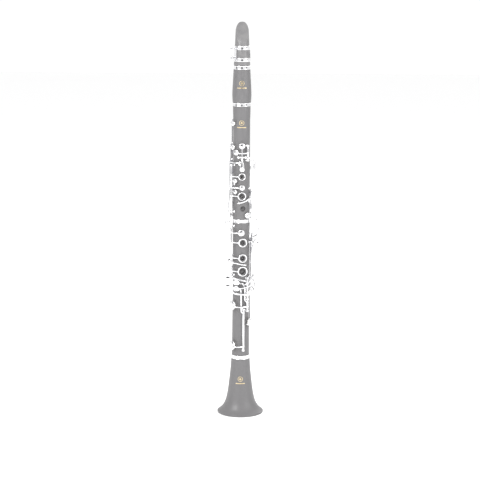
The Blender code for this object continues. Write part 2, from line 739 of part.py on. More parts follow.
def gsharp_key():
    shapes = shapes_of("gsharp_key")
    stops = [(36.0, 18.2), (32.0, 20.9), (22.0, 22.2), (3.0, 22.4), (-16.0, 21.8), (-30.0, 19.2)]
    arm("gsharp_arm", [(*stop, 450.9) for stop in stops], shapes)
    pad_cup("gsharp_cup", -31.0, 451.6, 4.7, seat_top(451.6) + GAP, shapes)
    lever = [(*GSHARP, 443.0), (48.0, 20.6, 441.0), (60.0, 23.0, 436.0), (66.0, 23.6, 426.0)]
    arm("gsharp_lever", lever, shapes)
    touch("gsharp_touch", 66.0, 24.2, 424.0, 24.0, 5.6, shapes)
    upright_key("gsharp_key", GSHARP, 440.5, 460.9, shapes)
    axle("gsharp_axle", [(GSHARP, 437.5, 464.0)], [(GSHARP, 438.6), (GSHARP, 462.8)])


def ring_arm(name, hinge, height, angle, outer, where):
    """A straight arm from a hinge tube to the near edge of a finger ring."""
    tube = at(*hinge, height)
    way = -1.0 if (at(angle, 18.4, height) - tube).dot(tangent(angle)) > 0 else 1.0
    edge = at(angle, RING_INNER_FACE + 0.8, height) + tangent(angle) * (way * (outer - 0.8) * MM)
    return straight_arm(name, tube, edge, where)


def straight_arm(name, start, end, where, radius=ARM_RADIUS):
    return cylinder(name, start, end, radius, 6, where)


def upper_rings():
    shapes = shapes_of("upper_ring_key")
    finger_ring("second_ring", UPPER_LINE, 378.0, 5.5, 7.1, shapes)
    ring_arm("second_ring_arm", STACK, 378.0, UPPER_LINE, 7.1, shapes)
    base = seat_top(392.4) + GAP + 1.5
    pad = pad_cup("upper_vent_cup", 4.0, 392.4, 4.6, base, shapes, "upper_vent_pad")
    stops = [(*STACK, 392.4), (-36.0, 21.4, 392.4), *across(4.0, base + 3.5, 392.4, -16.0, -3.0)]
    arm("upper_vent_arm", stops, shapes)
    tab = [(-56.0, 20.2, 355.5), (-56.0, 25.9, 355.5), (-56.0, 25.9, 331.0)]
    arm("upper_bridge_tab", tab, shapes, 1.0, straight=True)
    upright_key("upper_ring_key", STACK, 352.6, 394.9, shapes, pad=pad)

    shapes = shapes_of("first_ring_key")
    finger_ring("first_ring", UPPER_LINE, 411.0, 4.6, 6.3, shapes)
    ring_arm("first_ring_arm", STACK, 411.0, UPPER_LINE, 6.3, shapes)
    base = seat_top(403.5) + GAP + 0.6
    pad_cup("first_vent_cup", -36.0, 403.5, 4.0, base, shapes)
    arm("first_vent_arm", [(*STACK, 403.5), *across(-36.0, base + 3.4, 403.5, -10.0, 0.0)], shapes)
    upright_key("first_ring_key", STACK, 399.3, 428.1, shapes)
    posts = [(STACK, 350.7), (STACK, 397.1), (STACK, 430.0)]
    axle("upper_ring_axle", [(STACK, 349.4, 431.3)], posts)

    shapes = shapes_of("thumb_ring_key")
    finger_ring("thumb_ring", 180.0, 420.0, 5.0, 6.6, shapes)
    ring_arm("thumb_ring_arm", THUMB, 420.0, 180.0, 6.6, shapes)
    upright_key("thumb_ring_key", THUMB, 412.1, 427.9, shapes)
    axle("thumb_ring_axle", [(THUMB, 408.9, 431.1)], [(THUMB, 410.2), (THUMB, 429.8)])


def right_keys():
    """The cross key between the second and third fingers, and the key for the left little finger."""
    shapes = shapes_of("upper_cross_key")
    bar = [(66.0, 18.4, 374.4), (48.0, 18.3, 373.0), (30.0, 18.1, 370.4), (10.0, 18.0, 368.0)]
    bar += [(-8.0, 18.0, 366.4), (-22.0, 18.0, 365.4)]
    arm("upper_cross_bar", bar, shapes, 1.1)
    arm("upper_cross_arm", [(66.0, 18.4, 382.0), (84.0, 19.0, 382.0), (110.0, 18.9, 382.0)], shapes)
    pad_cup("upper_cross_cup", 112.0, 382.0, 4.0, seat_top(382.0) + GAP, shapes)
    upright_key("upper_cross_key", RIGHT, 369.7, 387.9, shapes)

    shapes = shapes_of("csharp_key")
    base = seat_top(344.9) + GAP
    pad = pad_cup("csharp_cup", 38.0, 344.9, 4.9, base, shapes, "csharp_pad")
    arm("csharp_arm", [(66.0, 18.4, 347.0), *across(38.0, base + 3.5, 345.6, 13.0, 1.0)], shapes)
    lever = [(66.0, 18.4, 350.0), (76.0, 21.8, 348.0), (84.0, 24.4, 343.0), (92.0, 26.0, 335.0)]
    arm("csharp_lever", lever, shapes)
    touch("csharp_touch", 92.0, 26.6, 333.0, 17.0, 8.4, shapes)
    upright_key("csharp_key", RIGHT, 341.8, 365.8, shapes, pad=pad)
    posts = [(RIGHT, 339.9), (RIGHT, 367.8), (RIGHT, 389.8)]
    axle("upper_right_axle", [(RIGHT, 338.6, 391.1)], posts)


# Lower joint keywork


def lower_rings():
    shapes = shapes_of("lower_ring_key")
    rings = (("fourth", 298.6, 5.4, 7.5), ("fifth", 272.0, 5.4, 7.4), ("sixth", 249.4, 6.5, 8.5))
    for label, height, inner, outer in rings:
        finger_ring(label + "_ring", LOWER_LINE, height, inner, outer, shapes)
        ring_arm(label + "_ring_arm", STACK, height, LOWER_LINE, outer, shapes)
    base = seat_top(315.7) + GAP + 1.5
    pad = pad_cup("lower_vent_cup", 1.0, 315.7, 5.5, base, shapes, "lower_vent_pad")
    stops = [(*STACK, 315.7), (-38.0, 21.6, 315.7), *across(1.0, base + 3.5, 315.7, -18.0, -3.0)]
    arm("lower_vent_arm", stops, shapes)
    tab = [(-56.0, 20.2, 320.0), (-56.0, 23.6, 320.0), (-56.0, 23.6, 336.0)]
    arm("lower_bridge_tab", tab, shapes, 0.85, straight=True)
    upright_key("lower_ring_key", STACK, 243.8, 324.2, shapes, pad=pad)
    axle("lower_ring_axle", [(STACK, 240.6, 327.4)], [(STACK, 241.9), (STACK, 326.1)])

    shapes = shapes_of("lower_cross_key")
    bar = [(-105.0, 19.0, 266.0), (-88.0, 22.6, 266.0), (-56.0, 25.0, 265.6), (-34.0, 22.0, 264.2)]
    bar += [(-16.0, 18.9, 262.8), (0.0, 18.3, 261.6), (30.0, 18.2, 259.8)]
    arm("lower_cross_bar", bar, shapes, 1.1)
    arm("lower_cross_arm", [(-105.0, 19.0, 263.0), (-122.0, 19.2, 263.0), (-138.0, 18.9, 263.0)], shapes)
    pad_cup("lower_cross_cup", -140.0, 263.0, 4.2, seat_top(263.0) + GAP, shapes)
    upright_key("lower_cross_key", LOWER_CROSS, 256.1, 271.9, shapes)
    posts = [(LOWER_CROSS, 254.2), (LOWER_CROSS, 273.8)]
    axle("lower_cross_axle", [(LOWER_CROSS, 252.9, 275.1)], posts)


def little_finger_keys():
    """The four keys of the right little finger, with their touches side by side under the last ring."""
    shapes = shapes_of("e_key")
    base = seat_top(120.0) + GAP + 1.8
    pad = pad_cup("e_cup", -50.0, 120.0, 8.2, base, shapes, "e_pad")
    stops = [(15.0, 18.4, 119.0), (4.0, 20.8, 119.0), (-12.0, 23.0, 119.0)]
    stops += across(-50.0, base + 3.6, 119.0, 24.0, 2.0)
    arm("e_arm", stops, shapes, 1.1)
    lever = [(*E_ROD, 178.0), (3.5, 18.2, 180.6), (2.0, 18.0, 205.0), (-2.0, 18.4, 219.0)]
    arm("e_lever", [*lever, (-16.0, 19.0, 219.5)], shapes, 1.0)
    touch("e_touch", -24.0, 19.5, 219.5, 12.0, 8.6, shapes, lean=90.0)
    upright_key("e_key", E_ROD, 114.1, 181.9, shapes, pad=pad)
    axle("e_axle", [(E_ROD, 110.9, 185.1)], [(E_ROD, 112.2), (E_ROD, 183.8)])

    shapes = shapes_of("fsharp_key")
    base = seat_top(190.0) + GAP + 1.8
    pad = pad_cup("fsharp_cup", -50.0, 190.0, 8.2, base, shapes, "fsharp_pad")
    stops = [(37.0, 18.4, 188.4), (27.0, 20.5, 188.4), (9.0, 21.8, 188.4), (-12.0, 22.8, 188.4)]
    stops += across(-50.0, base + 3.6, 188.4, 24.0, 2.0)
    arm("fsharp_arm", stops, shapes, 1.1)
    lever = [(*FSHARP_ROD, 196.0), (24.0, 18.3, 198.6), (22.0, 18.1, 205.0), (22.0, 18.1, 220.0)]
    lever += [(10.0, 18.5, 228.0), (-16.0, 19.0, 230.0)]
    arm("fsharp_lever", lever, shapes, 1.0)
    touch("fsharp_touch", -24.0, 19.5, 230.2, 12.0, 8.6, shapes, lean=90.0)
    upright_key("fsharp_key", FSHARP_ROD, 182.7, 199.3, shapes, pad=pad)

    shapes = shapes_of("aflat_key")
    base = seat_top(213.0) + GAP
    pad = pad_cup("aflat_cup", 72.0, 213.0, 5.2, base, shapes, "aflat_pad")
    stops = [(37.0, 18.4, 213.0), (48.0, 19.6, 213.0), *across(72.0, base + 3.5, 213.0, -13.0, -1.0)]
    arm("aflat_arm", stops, shapes)
    lever = [(37.0, 18.4, 230.0), (28.0, 20.6, 231.6), (18.0, 21.8, 233.6), (-10.0, 21.9, 236.4)]
    lever += [(-40.0, 23.0, 238.0), (-55.0, 25.6, 237.0)]
    arm("aflat_lever", lever, shapes, 1.0)
    touch("aflat_touch", -55.0, 26.2, 236.4, 12.0, 7.4, shapes, lean=90.0, turn=17.0)
    upright_key("aflat_key", FSHARP_ROD, 203.3, 235.2, shapes, pad=pad)
    posts = [(FSHARP_ROD, 180.8), (FSHARP_ROD, 201.3), (FSHARP_ROD, 237.1)]
    axle("fsharp_axle", [(FSHARP_ROD, 179.5, 238.4)], posts)

    shapes = shapes_of("f_key")
    base = seat_top(160.0) + GAP + 1.8
    pad = pad_cup("f_cup", 58.0, 160.0, 7.6, base, shapes, "f_pad")
    stops = [(118.0, 18.4, 158.6), (102.0, 20.8, 158.6)]
    stops += across(58.0, base + 3.6, 158.6, 25.0, 0.0, -22.0) + [(25.0, 24.4, 158.6)]
    arm("f_arm", stops, shapes, 1.1)
    lever = [(*F_ROD, 222.0), (104.0, 21.6, 217.0), (88.0, 23.6, 212.0), (60.0, 24.4, 210.5)]
    lever += [(20.0, 24.4, 210.5), (-20.0, 24.2, 211.5), (-44.0, 25.0, 216.0), (-55.0, 25.8, 221.0)]
    arm("f_lever", lever, shapes, 1.0)
    touch("f_touch", -55.0, 26.2, 222.4, 12.0, 7.4, shapes, lean=90.0, turn=17.0)
    upright_key("f_key", F_ROD, 151.1, 225.9, shapes, pad=pad)
    posts = [(F_ROD, 149.2), (F_ROD, 227.8), (F_ROD, 301.9)]
    axle("f_axle", [(F_ROD, 147.9, 303.2)], posts)


def left_levers():
    """The three long levers that let the left little finger work the lower keys."""
    levers = {
        "left_f_lever": (F_ROD, 229.8, 300.0, 17.0, -22.0),
        "left_e_lever": (LEFT_E_ROD, 240.0, 310.0, 16.0, -24.0),
        "left_fsharp_lever": (LEFT_FSHARP_ROD, 240.0, 296.0, 25.0, -21.0),
    }
    f_plate = [(118.0, 18.4, 296.0), (106.0, 24.0, 296.0), (95.0, 28.6, 295.4), (84.0, 30.6, 294.6)]
    e_plate = [(94.0, 18.6, 306.0), (88.0, 23.0, 308.0), (82.0, 26.8, 311.0), (76.0, 28.8, 316.0)]
    fsharp_plate = [(70.0, 18.6, 292.0), (68.0, 21.6, 292.4), (64.0, 25.0, 293.0), (61.0, 26.8, 294.0)]
    plates = {"left_f_lever": f_plate, "left_e_lever": e_plate, "left_fsharp_lever": fsharp_plate}
    f_foot = [(118.0, 18.4, 232.0), (112.0, 22.2, 231.0), (104.0, 24.3, 226.0), (100.0, 24.6, 219.0)]
    e_foot = [(94.0, 18.6, 244.0), (86.0, 22.6, 238.4), (70.0, 23.6, 228.0)]
    e_foot += [(37.0, 23.2, 224.0), (5.0, 22.7, 221.2), (-10.0, 21.9, 219.8)]
    fsharp_foot = [(70.0, 18.6, 243.5), (64.0, 22.6, 240.6), (46.0, 24.0, 235.0)]
    fsharp_foot += [(31.0, 23.6, 229.8), (17.0, 21.2, 226.6)]
    feet = {"left_f_lever": f_foot, "left_e_lever": e_foot, "left_fsharp_lever": fsharp_foot}
    for name, (hinge, bottom, top, length, turn) in levers.items():
        shapes = shapes_of(name)
        arm(name + "_arm", plates[name], shapes)
        angle, distance, height = plates[name][-1]
        touch(name + "_touch", angle, distance + 0.6, height, length, 7.2, shapes, turn=turn)
        arm(name + "_foot", feet[name], shapes)
        upright_key(name, hinge, bottom, top, shapes)
    axle(
        "left_lever_axles",
        [(LEFT_E_ROD, 236.8, 313.2), (LEFT_FSHARP_ROD, 236.8, 299.2)],
        [(LEFT_E_ROD, 311.9), (LEFT_FSHARP_ROD, 297.9), (LEFT_E_ROD, 238.1), (LEFT_FSHARP_ROD, 238.1)],
        saddle=238.1,
    )


build_sections()
build_mouthpiece()
build_ligature()
build_thumb_rest()
register_key()
a_key()
gsharp_key()
side_keys()
upper_rings()
right_keys()
lower_rings()
little_finger_keys()
left_levers()
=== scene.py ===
"""Looks for a B-flat clarinet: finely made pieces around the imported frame.

Lengths are millimetres and angles are degrees until MM turns them into metres.
A place on the body is an angle round the bore's axis (0 at the front, positive to the +X side),
a distance from the axis and a height.
"""

import json
import math

import bmesh
import bpy
from mathutils import Matrix, Vector

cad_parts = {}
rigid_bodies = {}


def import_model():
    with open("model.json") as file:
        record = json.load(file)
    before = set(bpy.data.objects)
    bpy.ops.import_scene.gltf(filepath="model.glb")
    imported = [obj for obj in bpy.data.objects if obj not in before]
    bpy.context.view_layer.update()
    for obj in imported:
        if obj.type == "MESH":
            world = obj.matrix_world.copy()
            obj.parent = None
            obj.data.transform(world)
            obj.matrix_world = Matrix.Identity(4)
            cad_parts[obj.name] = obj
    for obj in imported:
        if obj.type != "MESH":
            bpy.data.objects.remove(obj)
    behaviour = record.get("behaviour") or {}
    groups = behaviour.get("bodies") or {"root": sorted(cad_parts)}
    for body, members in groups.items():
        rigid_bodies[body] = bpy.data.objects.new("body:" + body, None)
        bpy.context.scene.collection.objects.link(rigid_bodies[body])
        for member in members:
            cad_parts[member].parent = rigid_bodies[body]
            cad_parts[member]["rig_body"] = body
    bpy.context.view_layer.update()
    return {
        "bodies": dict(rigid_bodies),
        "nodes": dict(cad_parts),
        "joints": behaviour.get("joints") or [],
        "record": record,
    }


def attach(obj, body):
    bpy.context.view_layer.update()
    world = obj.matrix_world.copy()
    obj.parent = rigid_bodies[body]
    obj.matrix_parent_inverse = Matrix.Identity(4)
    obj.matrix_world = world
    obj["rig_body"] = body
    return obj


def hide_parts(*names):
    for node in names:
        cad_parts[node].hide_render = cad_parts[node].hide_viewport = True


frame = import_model()
NODES = frame["nodes"]

MM = 0.001
GAP = 0.3

# Hinge lines as (angle, distance from the bore's axis)
STACK = (-56.0, 20.2)
THUMB = (128.0, 18.6)
RIGHT = (66.0, 18.4)
GSHARP = (36.0, 18.2)
SIDE = {"eflat": (-86.0, 19.4), "fsharp": (-99.0, 19.4), "b": (-112.0, 19.4), "c": (-125.0, 19.4)}
LOWER_CROSS = (-105.0, 19.0)
E_ROD = (15.0, 18.4)
FSHARP_ROD = (37.0, 18.4)
F_ROD = (118.0, 18.4)
LEFT_E_ROD = (94.0, 18.6)
LEFT_FSHARP_ROD = (70.0, 18.6)
UPPER_LINE = 3.0
LOWER_LINE = 9.0

TUBE_RADIUS = 1.8
SIDE_TUBE_RADIUS = 1.5
ROD_RADIUS = 1.15
SIDE_ROD_RADIUS = 0.95
HEAD_RADIUS = 2.4
HEAD_HALF = 1.6
CUP_HEIGHT = 3.6
PAD_SHOWING = 1.0
CUP_WALL = 0.5
SEAT_HEIGHT = 1.15
RING_FACE = 17.6
RING_THICKNESS = 1.6
CHIMNEY_TOP = 17.3
TOUCH_THICKNESS = 1.5
CREASE = math.radians(38.0)


# Materials


class Finish:
    """A material whose colour, roughness and bump come from nodes."""

    def __init__(self, name, colour, metallic, roughness):
        self.material = bpy.data.materials.new(name)
        self.material.use_nodes = True
        self.tree = self.material.node_tree
        self.shader = self.tree.nodes["Principled BSDF"]
        self.shader.inputs["Base Color"].default_value = (*colour, 1.0)
        self.shader.inputs["Metallic"].default_value = metallic
        self.shader.inputs["Roughness"].default_value = roughness
        self.material.diffuse_color = (*colour, 1.0)
        self.where = self.tree.nodes.new("ShaderNodeTexCoord")
        self.height = None

    def noise(self, scale, stretch=(1.0, 1.0, 1.0), detail=4.0, kind="ShaderNodeTexNoise"):
        mapping = self.tree.nodes.new("ShaderNodeMapping")
        mapping.inputs["Scale"].default_value = stretch
        self.tree.links.new(self.where.outputs["Object"], mapping.inputs["Vector"])
        made = self.tree.nodes.new(kind)
        made.inputs["Scale"].default_value = scale
        if "Detail" in made.inputs:
            made.inputs["Detail"].default_value = detail
        self.tree.links.new(mapping.outputs["Vector"], made.inputs["Vector"])
        return made.outputs["Fac"] if "Fac" in made.outputs else made.outputs["Distance"]

    def spread(self, value, low, high):
        made = self.tree.nodes.new("ShaderNodeMapRange")
        made.inputs["From Min"].default_value = 0.3
        made.inputs["From Max"].default_value = 0.7
        made.inputs["To Min"].default_value = low
        made.inputs["To Max"].default_value = high
        self.tree.links.new(value, made.inputs["Value"])
        return made.outputs["Result"]

    def colours(self, value, *stops):
        ramp = self.tree.nodes.new("ShaderNodeValToRGB")
        elements = ramp.color_ramp.elements
        while len(elements) < len(stops):
            elements.new(0.5)
        for element, (place, colour) in zip(elements, stops):
            element.position = place
            element.color = (*colour, 1.0)
        self.tree.links.new(value, ramp.inputs["Fac"])
        self.tree.links.new(ramp.outputs["Color"], self.shader.inputs["Base Color"])
        return self

    def rough(self, value, low, high):
        self.tree.links.new(self.spread(value, low, high), self.shader.inputs["Roughness"])
        return self

    def bump(self, value, strength, depth):
        made = self.tree.nodes.new("ShaderNodeBump")
        made.inputs["Strength"].default_value = strength
        made.inputs["Distance"].default_value = depth * MM
        self.tree.links.new(value, made.inputs["Height"])
        if self.height:
            self.tree.links.new(self.height, made.inputs["Normal"])
        self.height = made.outputs["Normal"]
        self.tree.links.new(self.height, self.shader.inputs["Normal"])
        return self


def make_finishes():
    made = {}
    body = Finish("clarinet_ebonite", (0.14, 0.14, 0.14), 0.0, 0.4)
    grain = body.noise(1.0, (2600.0, 2600.0, 70.0), 6.0)
    cloud = body.noise(60.0, detail=3.0)
    body.colours(grain, (0.25, (0.100, 0.098, 0.101)), (0.75, (0.142, 0.139, 0.141)))
    body.rough(cloud, 0.34, 0.46).bump(grain, 0.25, 0.05)
    body.bump(body.noise(1.0, (300.0, 300.0, 9000.0), 2.0), 0.08, 0.03)
    made["ebonite"] = body

    # Painted light: the bore's pale grey, far lighter than the black body, stands in for the light seen
    # inside the tone holes; its roughness and bump are the bore's real polished, reamed surface.
    bore = Finish("clarinet_bore_painted_light", (0.4, 0.39, 0.39), 0.0, 0.3)
    cloud = bore.noise(300.0, detail=4.0)
    bore.colours(cloud, (0.3, (0.36, 0.355, 0.36)), (0.7, (0.44, 0.43, 0.43)))
    bore.rough(cloud, 0.24, 0.36).bump(bore.noise(1.0, (300.0, 300.0, 6000.0), 2.0), 0.06, 0.02)
    made["bore"] = bore

    glossy = Finish("clarinet_mouthpiece", (0.15, 0.15, 0.15), 0.0, 0.33)
    cloud = glossy.noise(90.0, detail=5.0)
    glossy.colours(cloud, (0.3, (0.135, 0.133, 0.136)), (0.7, (0.17, 0.167, 0.168)))
    glossy.rough(cloud, 0.28, 0.38).bump(glossy.noise(1.0, (500.0, 500.0, 7000.0), 3.0), 0.06, 0.03)
    made["gloss"] = glossy

    silver = Finish("clarinet_silver", (0.9, 0.9, 0.91), 1.0, 0.16)
    cloud = silver.noise(140.0, detail=5.0)
    silver.colours(cloud, (0.3, (0.78, 0.78, 0.79)), (0.7, (0.87, 0.87, 0.88)))
    silver.rough(cloud, 0.05, 0.14).bump(silver.noise(2600.0, detail=4.0), 0.05, 0.02)
    made["silver"] = silver

    steel = Finish("clarinet_rod_steel", (0.62, 0.63, 0.65), 1.0, 0.28)
    turning = steel.noise(1.0, (400.0, 400.0, 8000.0), 3.0)
    steel.colours(turning, (0.3, (0.55, 0.56, 0.58)), (0.7, (0.72, 0.73, 0.75)))
    steel.rough(turning, 0.22, 0.36).bump(turning, 0.12, 0.02)
    made["steel"] = steel

    blue = Finish("clarinet_spring_steel", (0.10, 0.13, 0.24), 1.0, 0.3)
    cloud = blue.noise(700.0, detail=3.0)
    blue.colours(cloud, (0.3, (0.07, 0.10, 0.22)), (0.7, (0.22, 0.18, 0.24)))
    made["blue"] = blue.rough(cloud, 0.22, 0.4)

    cork = Finish("clarinet_cork", (0.6, 0.4, 0.22), 0.0, 0.88)
    cells = cork.noise(2400.0, kind="ShaderNodeTexVoronoi")
    flecks = cork.noise(420.0, detail=8.0)
    cork.colours(flecks, (0.32, (0.28, 0.15, 0.07)), (0.48, (0.58, 0.38, 0.20)), (0.7, (0.74, 0.54, 0.33)))
    cork.rough(flecks, 0.75, 0.95).bump(cells, 0.4, 0.15).bump(flecks, 0.4, 0.2)
    made["cork"] = cork

    cane = Finish("clarinet_cane", (0.85, 0.7, 0.4), 0.0, 0.55)
    fibres = cane.noise(1.0, (5200.0, 900.0, 60.0), 6.0)
    cane.colours(fibres, (0.28, (0.62, 0.45, 0.20)), (0.5, (0.82, 0.66, 0.36)), (0.74, (0.91, 0.79, 0.50)))
    cane.rough(fibres, 0.42, 0.62).bump(fibres, 0.3, 0.06)
    made["cane"] = cane

    pad = Finish("clarinet_pad_skin", (0.86, 0.8, 0.66), 0.0, 0.6)
    wrinkles = pad.noise(900.0, detail=8.0)
    pad.colours(wrinkles, (0.3, (0.76, 0.68, 0.52)), (0.7, (0.93, 0.89, 0.78)))
    pad.rough(wrinkles, 0.45, 0.7).bump(wrinkles, 0.3, 0.08)
    made["pad"] = pad

    gold = Finish("clarinet_inlay", (0.83, 0.6, 0.26), 1.0, 0.35)
    cloud = gold.noise(900.0, detail=4.0)
    gold.colours(cloud, (0.3, (0.62, 0.50, 0.30)), (0.7, (0.76, 0.63, 0.40)))
    made["gold"] = gold.rough(cloud, 0.28, 0.42)
    return made


FINISHES = make_finishes()


# Places


def radial(angle):
    turn = math.radians(angle)
    return Vector((math.sin(turn), -math.cos(turn), 0.0))


def tangent(angle):
    turn = math.radians(angle)
    return Vector((math.cos(turn), math.sin(turn), 0.0))


def at(angle, distance, height):
    return radial(angle) * (distance * MM) + Vector((0.0, 0.0, height * MM))


def point(x, y, z):
    return Vector((x, y, z)) * MM


def move(x, y, z):
    return Matrix.Translation(point(x, y, z))


def facing(angle, distance, height):
    """A frame on the body: X runs round it, Y up it and Z out of it."""
    made = Matrix((tangent(angle), (0.0, 0.0, 1.0), radial(angle))).transposed().to_4x4()
    made.translation = at(angle, distance, height)
    return made


def along(start, end):
    """A frame at start whose Z axis points at end."""
    made = (end - start).to_track_quat("Z", "Y").to_matrix().to_4x4()
    made.translation = start
    return made


def body_radius(height):
    if height > 505.0:
        return 14.25 + 0.45 * (height - 505.0) / 23.0
    if height > 338.0:
        return 14.25
    if height > 312.0:
        return 14.7
    if height > 200.0:
        return 14.2
    return 14.2 + 0.7 * (200.0 - height) / 90.0


def seat_top(height):
    return body_radius(height) + SEAT_HEIGHT


def between(a, b, part):
    return tuple(p + (q - p) * part for p, q in zip(a, b))


def curve_through(points, per_span, closed=False):
    """Catmull-Rom points through the given ones."""
    if closed:
        padded = [points[-1], *points, points[0], points[1]]
    else:
        padded = [points[0], *points, points[-1]]
    made = []
    for a, b, c, d in zip(padded, padded[1:], padded[2:], padded[3:]):
        for i in range(per_span):
            t = i / per_span
            made.append(
                tuple(
                    0.5 * (2 * q + (r - p) * t + (2 * p - 5 * q + 4 * r - s) * t * t
                           + (3 * q - p - 3 * r + s) * t**3)
                    for p, q, r, s in zip(a, b, c, d)
                )
            )
    return made if closed else [*made, tuple(points[-1])]


def eased(profile, radius, closed=False, arcs=3):
    """The profile with each of its corners rounded."""
    made = []
    count = len(profile)
    for i, corner in enumerate(profile):
        if not closed and i in (0, count - 1):
            made.append(corner)
            continue
        before = Vector(profile[i - 1]) - Vector(corner)
        after = Vector(profile[(i + 1) % count]) - Vector(corner)
        if before.length < 1e-6 or after.length < 1e-6:
            made.append(corner)
            continue
        turn = before.angle(after)
        if turn > math.radians(165.0):
            made.append(corner)
            continue
        reach = min(radius, before.length * 0.45, after.length * 0.45)
        first = Vector(corner) + before.normalized() * reach
        last = Vector(corner) + after.normalized() * reach
        for k in range(arcs + 1):
            t = k / arcs
            made.append(tuple(first * (1 - t) ** 2 + Vector(corner) * (2 * t * (1 - t)) + last * t * t))
    return made


class Shape:
    """Points and faces of one piece, in metres."""

    def __init__(self, finish="silver"):
        self.points = []
        self.faces = []
        self.finish = finish

    def rings(self, rings, loop=False):
        """A skin over rings of points, where a ring of one point closes an end."""
        starts = []
        for ring in rings:
            starts.append(len(self.points))
            self.points.extend(ring)
        pairs = [(i, i + 1) for i in range(len(rings) - 1)]
        if loop:
            pairs.append((len(rings) - 1, 0))
        for a, b in pairs:
            sizes = (len(rings[a]), len(rings[b]))
            count = max(sizes)
            for i in range(count):
                j = (i + 1) % count
                face = (starts[a] + i % sizes[0], starts[a] + j % sizes[0],
                        starts[b] + j % sizes[1], starts[b] + i % sizes[1])
                face = tuple(dict.fromkeys(face))
                if len(face) > 2:
                    self.faces.append(face)

    def lathe(self, profile, where=None, steps=32, closed=False):
        """A profile of (radius, height) points turned about local Z."""
        where = where or Matrix.Identity(4)
        rings = []
        for radius, height in profile:
            if abs(radius) < 1e-5:
                rings.append([where @ Vector((0.0, 0.0, height * MM))])
                continue
            ring = []
            for i in range(steps):
                turn = 2 * math.pi * i / steps
                local = point(radius * math.cos(turn), radius * math.sin(turn), height)
                ring.append(where @ local)
            rings.append(ring)
        self.rings(rings, closed)

    def tube(self, start, end, outer, inner=0.0, ease=0.3, steps=24):
        length = (end - start).length / MM
        if inner:
            profile = [(inner, 0.0), (outer, 0.0), (outer, length), (inner, length)]
            self.lathe(eased(profile, ease, True), along(start, end), steps, True)
        else:
            profile = [(0.0, 0.0), (outer, 0.0), (outer, length), (0.0, length)]
            self.lathe(eased(profile, ease), along(start, end), steps)

    def sweep(self, path, width, thick, sides=14, last=None, squareness=2.4):
        """A rounded bar along points in metres, its width going from width to last."""
        path = [Vector(p) for p in path]
        lengths = [0.0]
        for a, b in zip(path, path[1:]):
            lengths.append(lengths[-1] + (b - a).length)
        total = lengths[-1]
        last = width if last is None else last
        cap = min(width, thick) / 2 * MM

        def place(distance):
            for i in range(len(path) - 1):
                if distance <= lengths[i + 1] or i == len(path) - 2:
                    span = lengths[i + 1] - lengths[i]
                    part = (distance - lengths[i]) / span if span > 1e-9 else 0.0
                    return path[i].lerp(path[i + 1], part), (path[i + 1] - path[i]).normalized()

        stations = []
        for turn in (90.0, 60.0, 30.0, 0.0):
            stations.append((cap * (1 - math.sin(math.radians(turn))), math.cos(math.radians(turn))))
        middle = [(d, 1.0) for d in lengths[1:-1] if cap * 1.2 < d < total - cap * 1.2]
        stations = [*stations, *middle, *[(total - d, s) for d, s in reversed(stations)]]
        tangents = [place(d)[1] for d, _ in stations]
        up = Vector((path[0].x, path[0].y, 0.0))
        if up.length < 1e-6 or abs(up.normalized().dot(tangents[0])) > 0.95:
            up = Vector((0.0, 0.0, 1.0))
        if abs(up.normalized().dot(tangents[0])) > 0.95:
            up = Vector((1.0, 0.0, 0.0))
        rings = []
        for i, (distance, scale) in enumerate(stations):
            point = place(distance)[0]
            around = [tangents[k] for k in (max(i - 1, 0), i, min(i + 1, len(stations) - 1))]
            ahead = sum(around, Vector()).normalized()
            up = (up - ahead * up.dot(ahead)).normalized()
            side = ahead.cross(up)
            if scale < 1e-6:
                rings.append([point])
                continue
            wide = (width + (last - width) * distance / total) / 2 * scale * MM
            tall = thick / 2 * scale * MM
            ring = []
            for k in range(sides):
                turn = 2 * math.pi * k / sides
                c, s = math.cos(turn), math.sin(turn)
                c = math.copysign(abs(c) ** (2 / squareness), c)
                s = math.copysign(abs(s) ** (2 / squareness), s)
                ring.append(point + side * (wide * c) + up * (tall * s))
            rings.append(ring)
        self.rings(rings)

    def arm(self, stops, width=2.4, thick=1.8, last=None, straight=False):
        """A bar along (angle, distance, height) stops that follows the body's curve."""
        if straight:
            path = [at(*stop) for stop in stops]
            dense = []
            for a, b in zip(path, path[1:]):
                dense += [a.lerp(b, k / 6) for k in range(6)]
            self.sweep([*dense, path[-1]], width, thick, last=last)
            return
        dense = [stops[0]]
        for first, second in zip(stops, stops[1:]):
            count = max(1, math.ceil(abs(second[0] - first[0]) / 22.0))
            dense += [between(first, second, k / count) for k in range(1, count + 1)]
        smooth = curve_through([tuple(at(*stop)) for stop in dense], 5)
        self.sweep(smooth, width, thick, last=last)

    def plate(self, where, length, width, thick=TOUCH_THICKNESS, taper=0.0, crown=0.35, power=2.7):
        """A crowned plate with rounded edges lying in local X and Y, narrower towards +Y by taper."""
        count = 44
        outline = []
        for i in range(count):
            turn = 2 * math.pi * i / count
            c, s = math.cos(turn), math.sin(turn)
            y = length / 2 * math.copysign(abs(s) ** (2 / power), s)
            x = width / 2 * math.copysign(abs(c) ** (2 / power), c)
            outline.append(Vector((x * (1 - taper * (y / length + 0.5)), y)))
        normals = []
        for i in range(count):
            way = (outline[(i + 1) % count] - outline[i - 1]).normalized()
            normals.append(Vector((way.y, -way.x)))
        half = thick / 2
        ease = min(0.5, half * 0.8)

        def ring(inset, height, scale=1.0):
            made = []
            for p, n in zip(outline, normals):
                q = (p - n * inset) * scale
                made.append(where @ point(q.x, q.y, height))
            return made

        top = half - 0.12
        rings = [[where @ point(0.0, 0.0, -half)], ring(ease, -half, 0.5), ring(ease, -half)]
        rings += [ring(ease * 0.3, -half + ease * 0.3), ring(0.0, -half + ease), ring(0.0, top - ease)]
        rings += [ring(ease * 0.3, top - ease * 0.3), ring(ease, top)]
        for scale in (0.85, 0.65, 0.4, 0.2):
            rings.append(ring(ease, top + crown * (1 - scale * scale), scale))
        rings.append([where @ point(0.0, 0.0, top + crown)])
        self.rings(rings)

